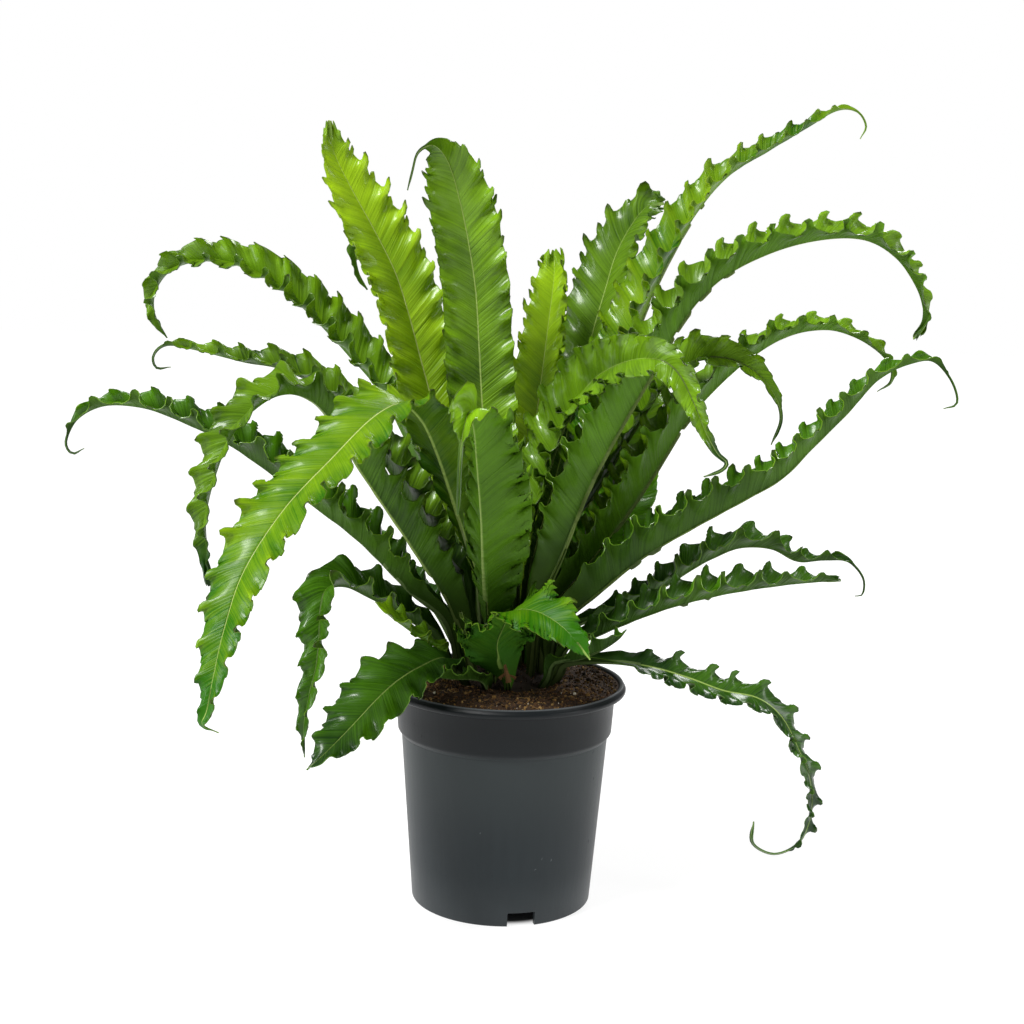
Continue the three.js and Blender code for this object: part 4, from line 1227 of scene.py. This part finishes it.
    def build(self, finishes: Sequence[bpy.types.Material]) -> bpy.types.Object:
        """Lays a flat grid on the blade's surface and gives it thickness and finishes.

        Args:
            finishes: The materials of the upper face, the under face and the rim.

        Returns:
            The finished frond.
        """
        rows, columns = self.rows(), self.columns()
        made = self.surface(rows, columns)
        cells = {"x_subdivisions": len(columns) - 1, "y_subdivisions": len(rows) - 1}
        piece = primitive(bpy.ops.mesh.primitive_grid_add, size=2, **cells)
        piece.name = f"leaf_{self.plan.name}"
        flat = points_of(piece)
        column = np.rint((1 - flat[:, 0]) / 2 * (len(columns) - 1)).astype(int)
        row = np.rint((1 + flat[:, 1]) / 2 * (len(rows) - 1)).astype(int)
        set_points(piece, made["places"][row, column])
        for name in ("vein", "span", "along", "tooth", "crest", "plain", "tone", "gloss"):
            carry(piece, name, made[name][row, column])
        thickest = float(made["thick"].max())
        group = piece.vertex_groups.new(name="thick")
        for point, weight in enumerate(made["thick"][row, column] / thickest):
            group.add([point], float(weight), "REPLACE")
        for material in finishes:
            piece.data.materials.append(material)
        modify(
            piece, "SOLIDIFY", thickness=thickest, offset=-1, vertex_group="thick",
            material_offset=Face.UNDER.value, material_offset_rim=Face.RIM.value,
        )
        smooth(piece, self.smooth_angle)
        return piece


@dataclass
class Pot:
    """The nursery pot: a foot ring, a tapered body, a collar and a rolled rim."""

    height: float = 205.0
    rim_radius: float = 110.0
    rim_depth: float = 9.0
    roll: float = 3.2
    roll_top: float = 3.0
    roll_low: float = 3.6
    collar_top: float = 100.0
    collar_foot: float = 98.0
    collar_height: float = 161.0
    collar_middle: float = 177.0
    body_top: float = 94.5
    body_height: float = 156.0
    foot_radius: float = 82.5
    ring_width: float = 6.0
    wall: float = 1.8
    raised: float = 14.0
    first_ring: float = 4.0
    sides: int = 160
    slot_size: tuple[float, float, float] = (30.0, 25.0, 26.0)
    slot_round: float = 0.8
    slots: int = 3
    slot_bearing: float = -76.6
    holes: int = 6
    hole_radius: float = 6.0
    hole_ring: float = 48.0
    smooth_angle: float = 40.0

    def profile(self) -> list[tuple[float, float]]:
        """Gives the wall's outline from under the base over the rim to the inside."""
        foot, top, rim, wall = self.foot_radius, self.height, self.rim_radius, self.wall
        base, inside, low = self.raised, foot - self.ring_width, top - self.rim_depth
        body, step = self.body_top, self.body_height
        collar, ledge, mouth = self.collar_foot, self.collar_height, self.collar_top

        # Small steps of about a millimetre round the corners of the foot, the ledge and the rim.
        outline = [(self.first_ring, base), (inside - 1.5, base), (inside - 0.6, base - 0.8)]
        outline += [(inside, 0.6), (inside + 0.6, 0)]
        outline += [(foot - 1.2, 0), (foot - 0.4, 0.5), (foot, 1.4)]
        for share in (0.25, 0.5, 0.75, 0.985):
            outline.append((mix(foot, body, share), mix(1.4, step, share)))
        outline += [(body, step), (body + 0.5, step + 0.5)]
        outline += [(collar - 0.7, ledge - 1.6), (collar - 0.1, ledge - 0.4), (collar, ledge + 0.8)]
        outline += [(mix(collar, mouth, 0.5), self.collar_middle), (mouth, low - 1.5)]
        outline += [(mouth + 0.5, low - 0.2), (mouth + 2, low + 0.6)]
        for turn in range(-60, 181, 20):
            angle, upper = math.radians(turn), turn > 60
            centre = top - self.roll_top if upper else low + self.roll_low
            rise = (self.roll_top if upper else self.roll) * math.sin(angle)
            outline.append((rim - self.roll + self.roll * math.cos(angle), centre + rise))
        outline += [(rim - 8, low + 4), (mouth - wall, low), (collar - wall, ledge)]
        outline += [(body - wall, step), (foot - wall, base + wall), (self.first_ring, base + wall)]
        return outline

    def build(self) -> bpy.types.Object:
        """Turns the wall, then cuts the slots in the foot and the drain holes in the base."""
        piece = turn_up("nursery_pot", self.profile(), self.sides)
        for i in range(self.slots):
            self.cut_slot(piece, math.radians(self.slot_bearing + 360 * i / self.slots))
        for i in range(self.holes):
            self.cut_hole(piece, math.radians(self.slot_bearing + 360 * (i + 0.5) / self.holes))
        smooth(piece, self.smooth_angle)
        piece.data.materials.append(PotFinish().material())
        return piece

    def cut_slot(self, piece: bpy.types.Object, bearing: float) -> None:
        """Cuts one slot through the foot ring at a bearing in radians."""
        place = (*round_axis(self.foot_radius, bearing), 0)
        add = bpy.ops.mesh.primitive_cube_add
        cutter = primitive(add, size=1, location=place, rotation=(0, 0, bearing))
        cutter.scale = [length * MM for length in self.slot_size]
        bpy.ops.object.transform_apply(location=True, rotation=True, scale=True)
        modify(cutter, "BEVEL", width=self.slot_round * MM, segments=2)
        cut_away(piece, cutter)

    def cut_hole(self, piece: bpy.types.Object, bearing: float) -> None:
        """Cuts one drain hole through the base at a bearing in radians."""
        place = (*round_axis(self.hole_ring, bearing), (self.raised + self.wall / 2) * MM)
        sizes = {"vertices": 32, "radius": self.hole_radius * MM, "depth": 6 * self.wall * MM}
        cutter = primitive(bpy.ops.mesh.primitive_cylinder_add, location=place, **sizes)
        bpy.ops.object.transform_apply(location=True)
        cut_away(piece, cutter)


def scatter(
    piece: bpy.types.Object,
    shape: bpy.types.Object,
    places: np.ndarray,
    turns: Sequence[Matrix],
    shades: np.ndarray,
) -> None:
    """Sets copies of a small shape on a piece and joins them to it, each with its own shade.

    Args:
        piece: The piece that takes the copies.
        shape: The shape to copy, which is removed at the end.
        places: Where the copies go, in metres.
        turns: How each copy is turned and sized.
        shades: The shade that each copy carries.
    """
    base = points_of(shape)
    faces = [list(face.vertices) for face in shape.data.polygons]
    count = len(base)
    points = np.concatenate([base @ np.array(turn).T + place for turn, place in zip(turns, places)])
    rings = [[v + count * i for v in face] for i in range(len(places)) for face in faces]
    mesh = bpy.data.meshes.new(f"{piece.name}_bits")
    mesh.from_pydata(points.tolist(), [], rings)
    bits = bpy.data.objects.new(mesh.name, mesh)
    bpy.context.scene.collection.objects.link(bits)
    carry(bits, "shade", np.repeat(shades, count))
    bpy.data.objects.remove(shape)
    take(piece)
    bits.select_set(True)
    bpy.ops.object.join()


def random_turn(draw: np.random.Generator, sizes: tuple[float, float, float]) -> Matrix:
    """Gives a turn in any direction with those sizes in metres."""
    turn = Matrix.Rotation(draw.uniform(0, 2 * math.pi), 3, draw.normal(size=3).tolist())
    return turn @ Matrix.Diagonal(sizes)


@dataclass
class Soil:
    """The potting soil: a lumpy heap up to the rim, with crumbs, bark chips and fibres on it."""

    bottom: float = 16.1
    first_ring: float = 10.0
    wall_foot: float = 80.4
    wall_line: tuple[Pair, ...] = ((92.3, 156.0), (95.8, 161.2), (97.0, 193.6), (98.0, 197.4),
                                   (101.2, 200.6))
    edge: Pair = (103.3, 202.4)
    heap: Pair = (74.0, 205.0)
    inner: float = 40.0
    sides: int = 140
    rings: int = 34
    lumps: float = 2.1
    lump_step: float = 16.0
    lump_octaves: tuple[float, float, int] = (0.9, 2.1, 3)
    fine_lumps: float = 0.7
    fine_lump_step: float = 3.2
    plain_edge: float = 1.0
    strewn: Pair = (46.0, 101.6)
    crumbs: int = 4200
    crumb_size: Pair = (0.4, 1.4)
    crumb_stretch: Pair = (0.6, 1.7)
    crumb_lift: float = 0.2
    crumb_shades: tuple[float, ...] = (0.12, 0.28, 0.42, 0.58, 0.74, 1.0)
    crumb_odds: tuple[float, ...] = (0.26, 0.3, 0.22, 0.14, 0.07, 0.01)
    fibres: int = 240
    fibre_radius: float = 0.22
    fibre_length: Pair = (1.5, 4.5)
    fibre_lean: Pair = (70.0, 100.0)
    fibre_lift: float = 0.6
    fibre_shades: Pair = (0.5, 0.85)
    bed_shade: float = 0.22
    shades: tuple[str, ...] = ("1a1006", "362210", "583a1a", "80602e", "a58450", "e8dccb")
    smooth_angle: float = 50.0
    seed: int = 5

    def height_at(self, radius: float) -> float:
        """Gives the heap's height at a radius, in millimetres."""
        share = ease((self.edge[0] - radius) / (self.edge[0] - self.heap[0]))
        return float(mix(self.edge[1], self.heap[1], share))

    def lump_at(self, x: float, y: float) -> float:
        """Gives how far the lumps lift the soil at a spot, in millimetres."""
        step, fine_step = self.lump_step, self.fine_lump_step
        coarse = noise.fractal(Vector((x / step, y / step, 3.0)), *self.lump_octaves)
        fine = noise.noise(Vector((x / fine_step, y / fine_step, 8.0)))
        return self.lumps * coarse + self.fine_lumps * fine

    def build(self) -> bpy.types.Object:
        """Turns the body of soil, roughens its top and scatters the crumbs over it."""
        edge_radius, edge_height = self.edge
        profile = [(self.first_ring, self.bottom), (self.wall_foot, self.bottom + 0.2)]
        profile += [*self.wall_line, self.edge]
        for radius in np.linspace(edge_radius, self.inner, self.rings)[1:]:
            profile.append((float(radius), self.height_at(float(radius))))
        piece = turn_up("potting_soil", profile, self.sides)
        places = points_of(piece) / MM
        for point in places:
            radius = math.hypot(point[0], point[1])
            if point[2] > edge_height - 0.1 and radius < edge_radius - self.plain_edge:
                point[2] += self.lump_at(point[0], point[1])
        set_points(piece, places * MM)
        carry(piece, "shade", np.full(len(places), self.bed_shade))
        self.add_crumbs(piece)
        self.add_fibres(piece)
        smooth(piece, self.smooth_angle)
        piece.data.materials.append(EarthFinish("soil_earth", self.shades).material())
        return piece

    def spots(self, draw: np.random.Generator, count: int, lift: float) -> np.ndarray:
        """Draws places on the heap's top, a little above it, in metres."""
        nearest, farthest = self.strewn
        radii = np.sqrt(draw.uniform(nearest**2, farthest**2, count))
        angles = draw.uniform(0, 2 * math.pi, count)
        spots = np.stack([radii * np.cos(angles), radii * np.sin(angles), radii], axis=1)
        for spot, radius in zip(spots, radii):
            spot[2] = self.height_at(float(radius)) + self.lump_at(spot[0], spot[1]) + lift
        return spots * MM

    def add_crumbs(self, piece: bpy.types.Object) -> None:
        """Scatters crumbs of soil and chips of bark over the heap."""
        draw = np.random.default_rng(self.seed)
        shape = primitive(bpy.ops.mesh.primitive_ico_sphere_add, subdivisions=1, radius=1)
        least, more = self.crumb_size
        turns = []
        for size in least + more * draw.random(self.crumbs) ** 3:
            stretch = draw.uniform(*self.crumb_stretch, 3) * size * MM
            turns.append(random_turn(draw, tuple(stretch)))
        shades = draw.choice(self.crumb_shades, self.crumbs, p=self.crumb_odds)
        scatter(piece, shape, self.spots(draw, self.crumbs, self.crumb_lift), turns, shades)

    def add_fibres(self, piece: bpy.types.Object) -> None:
        """Scatters short thin fibres over the heap."""
        draw = np.random.default_rng(self.seed + 1)
        cone = bpy.ops.mesh.primitive_cone_add
        shape = primitive(cone, vertices=4, radius1=1, radius2=0.5, depth=2)
        radius = self.fibre_radius * MM
        turns = []
        for _ in range(self.fibres):
            lie = Matrix.Rotation(draw.uniform(0, 2 * math.pi), 3, "Z")
            tip = Matrix.Rotation(math.radians(draw.uniform(*self.fibre_lean)), 3, "X")
            length = draw.uniform(*self.fibre_length) * MM
            turns.append(lie @ tip @ Matrix.Diagonal((radius, radius, length)))
        shades = draw.uniform(*self.fibre_shades, self.fibres)
        scatter(piece, shape, self.spots(draw, self.fibres, self.fibre_lift), turns, shades)


@dataclass(frozen=True)
class Husk:
    """One dry broken piece by the crown: its place beside the stub, its size and its lean."""

    shift: float
    back: float
    width: float
    length: float
    lean: float


@dataclass
class Crown:
    """The crown that the stalks grow from: a fibrous mound with scales and a dry stub."""

    radius: float = 51.0
    foot: float = 184.0
    shoulder: float = 203.5
    top: float = 219.0
    drop: float = 15.0
    drop_curve: float = 1.2
    first_ring: float = 8.0
    last_ring: float = 2.0
    rings: int = 22
    sides: int = 96
    lumps: float = 1.6
    lump_step: float = 7.0
    lump_octaves: tuple[float, float, int] = (0.8, 2.0, 3)
    lumps_above: float = 203.0
    scales: int = 420
    scale_ring: Pair = (10.0, 52.0)
    scale_lift: float = 1.0
    scale_lean: Pair = (20.0, 75.0)
    scale_turn: float = 0.7
    scale_width: Pair = (0.35, 1.0)
    scale_length: Pair = (2.0, 4.5)
    scale_shades: Pair = (0.15, 0.75)
    stub_place: tuple[float, float, float] = (6.0, 199.0, -62.0)
    husks: tuple[Husk, ...] = (
        Husk(0.0, 0.0, 2.1, 7.5, -14.0),
        Husk(-3.5, 3.0, 1.5, 4.0, 48.0),
        Husk(5.0, 2.0, 1.1, 3.2, -66.0),
    )
    husk_shade: float = 0.6
    husk_flat: float = 0.7
    husk_foot: float = 1.25
    husk_taper: float = 0.75
    husk_rough: float = 0.125
    husk_broken_from: float = 0.9
    husk_break: Pair = (-0.35, 0.25)
    husk_sunk: float = 0.6
    bed_shade: float = 0.2
    shades: tuple[str, ...] = ("120b05", "271a0c", "443016", "735024", "a68248")
    grain: float = 700.0
    smooth_angle: float = 50.0
    seed: int = 11

    def height_at(self, radius: float) -> float:
        """Gives the mound's height at a radius, in millimetres."""
        return self.top - self.drop * float(ease(radius / self.radius)) ** self.drop_curve

    def build(self) -> bpy.types.Object:
        """Turns the mound, roughens it, and adds the scales and the stub."""
        profile = [(self.first_ring, self.foot), (self.radius, self.foot)]
        profile += [(self.radius, self.shoulder)]
        for radius in np.linspace(self.radius - 0.6, self.last_ring, self.rings):
            profile.append((float(radius), self.height_at(float(radius))))
        piece = turn_up("root_crown", profile, self.sides)
        places = points_of(piece) / MM
        for point in places:
            if point[2] > self.lumps_above:
                spot = Vector((point[0] / self.lump_step, point[1] / self.lump_step, 1.0))
                point[2] += self.lumps * noise.fractal(spot, *self.lump_octaves)
        set_points(piece, places * MM)
        carry(piece, "shade", np.full(len(places), self.bed_shade))
        self.add_scales(piece)
        self.add_stub(piece)
        smooth(piece, self.smooth_angle)
        finish = EarthFinish("crown_fibre", self.shades, grain=self.grain)
        piece.data.materials.append(finish.material())
        return piece

    def add_scales(self, piece: bpy.types.Object) -> None:
        """Sets small pointed scales all over the mound, leaning outwards."""
        draw = np.random.default_rng(self.seed)
        cone = bpy.ops.mesh.primitive_cone_add
        shape = primitive(cone, vertices=5, radius1=1, radius2=0.05, depth=2)
        nearest, farthest = self.scale_ring
        thin, wide = (width * MM for width in self.scale_width)
        radii = np.sqrt(draw.uniform(nearest**2, farthest**2, self.scales))
        angles = draw.uniform(0, 2 * math.pi, self.scales)
        places, turns = [], []
        for radius, angle in zip(radii, angles):
            height = self.height_at(float(radius)) + self.scale_lift
            places.append((radius * math.cos(angle), radius * math.sin(angle), height))
            lean = Matrix.Rotation(math.radians(draw.uniform(*self.scale_lean)), 3, "Y")
            aside = draw.uniform(-self.scale_turn, self.scale_turn)
            lie = Matrix.Rotation(angle + aside, 3, "Z")
            length = draw.uniform(*self.scale_length) * MM
            turns.append(lie @ lean @ Matrix.Diagonal((thin, wide, length)))
        shades = draw.uniform(*self.scale_shades, self.scales)
        scatter(piece, shape, np.array(places) * MM, turns, shades)

    def add_stub(self, piece: bpy.types.Object) -> None:
        """Adds the dry broken stub that stands in front of the crown, with two husks by it."""
        draw = np.random.default_rng(self.seed + 1)
        foot = EYE.spot(*self.stub_place)
        for husk in self.husks:
            cylinder = bpy.ops.mesh.primitive_cylinder_add
            shape = primitive(cylinder, vertices=9, radius=1, depth=2, end_fill_type="TRIFAN")
            bpy.ops.object.mode_set(mode="EDIT")
            bpy.ops.mesh.select_all(action="SELECT")
            bpy.ops.mesh.subdivide(number_cuts=2)
            bpy.ops.object.mode_set(mode="OBJECT")
            places = points_of(shape)
            rise = (places[:, 2] + 1) / 2
            rough = self.husk_rough * draw.normal(size=len(places))
            places[:, :2] *= (self.husk_foot - self.husk_taper * rise + rough)[:, None]
            broken = draw.uniform(*self.husk_break, len(places))
            places[:, 2] += np.where(rise > self.husk_broken_from, broken, 0)
            set_points(shape, places)
            wide, flat = husk.width * MM, husk.width * MM * self.husk_flat
            turn = Matrix.Rotation(math.radians(husk.lean), 3, "Y")
            turn = turn @ Matrix.Diagonal((wide, flat, husk.length * MM))
            place = (foot + (husk.shift, husk.back, husk.length * self.husk_sunk)) * MM
            scatter(piece, shape, np.array([place]), [turn], np.array([self.husk_shade]))


@dataclass(frozen=True)
class Lamp:
    """A soft lamp: its name, its place and size in metres, and its power in watts."""

    name: str
    place: tuple[float, float, float]
    size: Pair
    power: float


@dataclass
class Studio:
    """The pale floor, the even white surround, the soft sun and the lamps, in metres."""

    floor_half: float = 9.0
    backdrop: float = 1.0
    surround: float = 0.2
    aim: tuple[float, float, float] = (0.0, 0.0, 0.36)
    sun_place: tuple[float, float, float] = (-1.0, -0.75, 2.2)
    sun_width: float = 18.0
    sun_power: float = 3.5
    lamps: tuple[Lamp, ...] = (
        Lamp("lamp_left", (-1.7, -0.7, 0.8), (0.35, 1.5), 11.0),
        Lamp("lamp_right", (1.7, -0.7, 0.8), (0.3, 1.5), 12.0),
        Lamp("lamp_back", (0.6, 1.7, 1.8), (1.0, 0.7), 26.0),
    )

    def build(self) -> None:
        """Lays the floor, sets the surround and hangs the lamps."""
        floor = primitive(bpy.ops.mesh.primitive_plane_add, size=2 * self.floor_half)
        floor.name = "floor"
        floor.data.materials.append(FloorFinish().material())
        self.light_surround()
        self.hang_sun()
        for lamp in self.lamps:
            self.hang_lamp(lamp)
        bpy.context.scene.view_settings.view_transform = "Standard"

    def light_surround(self) -> None:
        """Makes the surround white to look at, and dimmer as a light."""
        world = bpy.data.worlds.new("surround")
        bpy.context.scene.world = world
        world.use_nodes = True
        tree = world.node_tree
        sky = tree.nodes["Background"]
        sky.inputs["Color"].default_value = WHITE
        path = tree.nodes.new("ShaderNodeLightPath")
        strength = tree.nodes.new("ShaderNodeMapRange")
        strength.inputs["To Min"].default_value = self.surround
        strength.inputs["To Max"].default_value = self.backdrop
        tree.links.new(path.outputs["Is Camera Ray"], strength.inputs["Value"])
        tree.links.new(strength.outputs["Result"], sky.inputs["Strength"])

    def hang(self, data: bpy.types.Light, place: tuple[float, float, float]) -> None:
        """Hangs a light at a place in metres, facing the middle of the plant."""
        light = bpy.data.objects.new(data.name, data)
        light.location = place
        aim = Vector(self.aim) - Vector(place)
        light.rotation_euler = aim.to_track_quat("-Z", "Y").to_euler()
        bpy.context.scene.collection.objects.link(light)

    def hang_sun(self) -> None:
        """Hangs the soft even light that comes from far above."""
        data = bpy.data.lights.new("sun_high", "SUN")
        data.angle = math.radians(self.sun_width)
        data.energy = self.sun_power
        self.hang(data, self.sun_place)

    def hang_lamp(self, lamp: Lamp) -> None:
        """Hangs one soft lamp of a width and a height."""
        data = bpy.data.lights.new(lamp.name, "AREA")
        data.shape = "RECTANGLE"
        data.size, data.size_y = lamp.size
        data.energy = lamp.power
        self.hang(data, lamp.place)


def main() -> None:
    """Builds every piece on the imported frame."""
    logging.basicConfig(level=logging.INFO, format="%(name)s: %(message)s")
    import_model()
    EYE.camera()
    Studio().build()
    hand_over(Pot().build(), "pot")
    hand_over(Soil().build(), "soil")
    hand_over(Crown().build(), "crown")
    finishes = {kind: [one.material() for one in three] for kind, three in LEAF_FINISHES.items()}
    for number, plan in enumerate(FRONDS, start=1):
        piece = Frond(plan, number).build(finishes[plan.kind])
        hand_over(piece, f"frond_{plan.name}")
    bpy.ops.object.select_all(action="DESELECT")


if __name__ == "__main__":
    main()
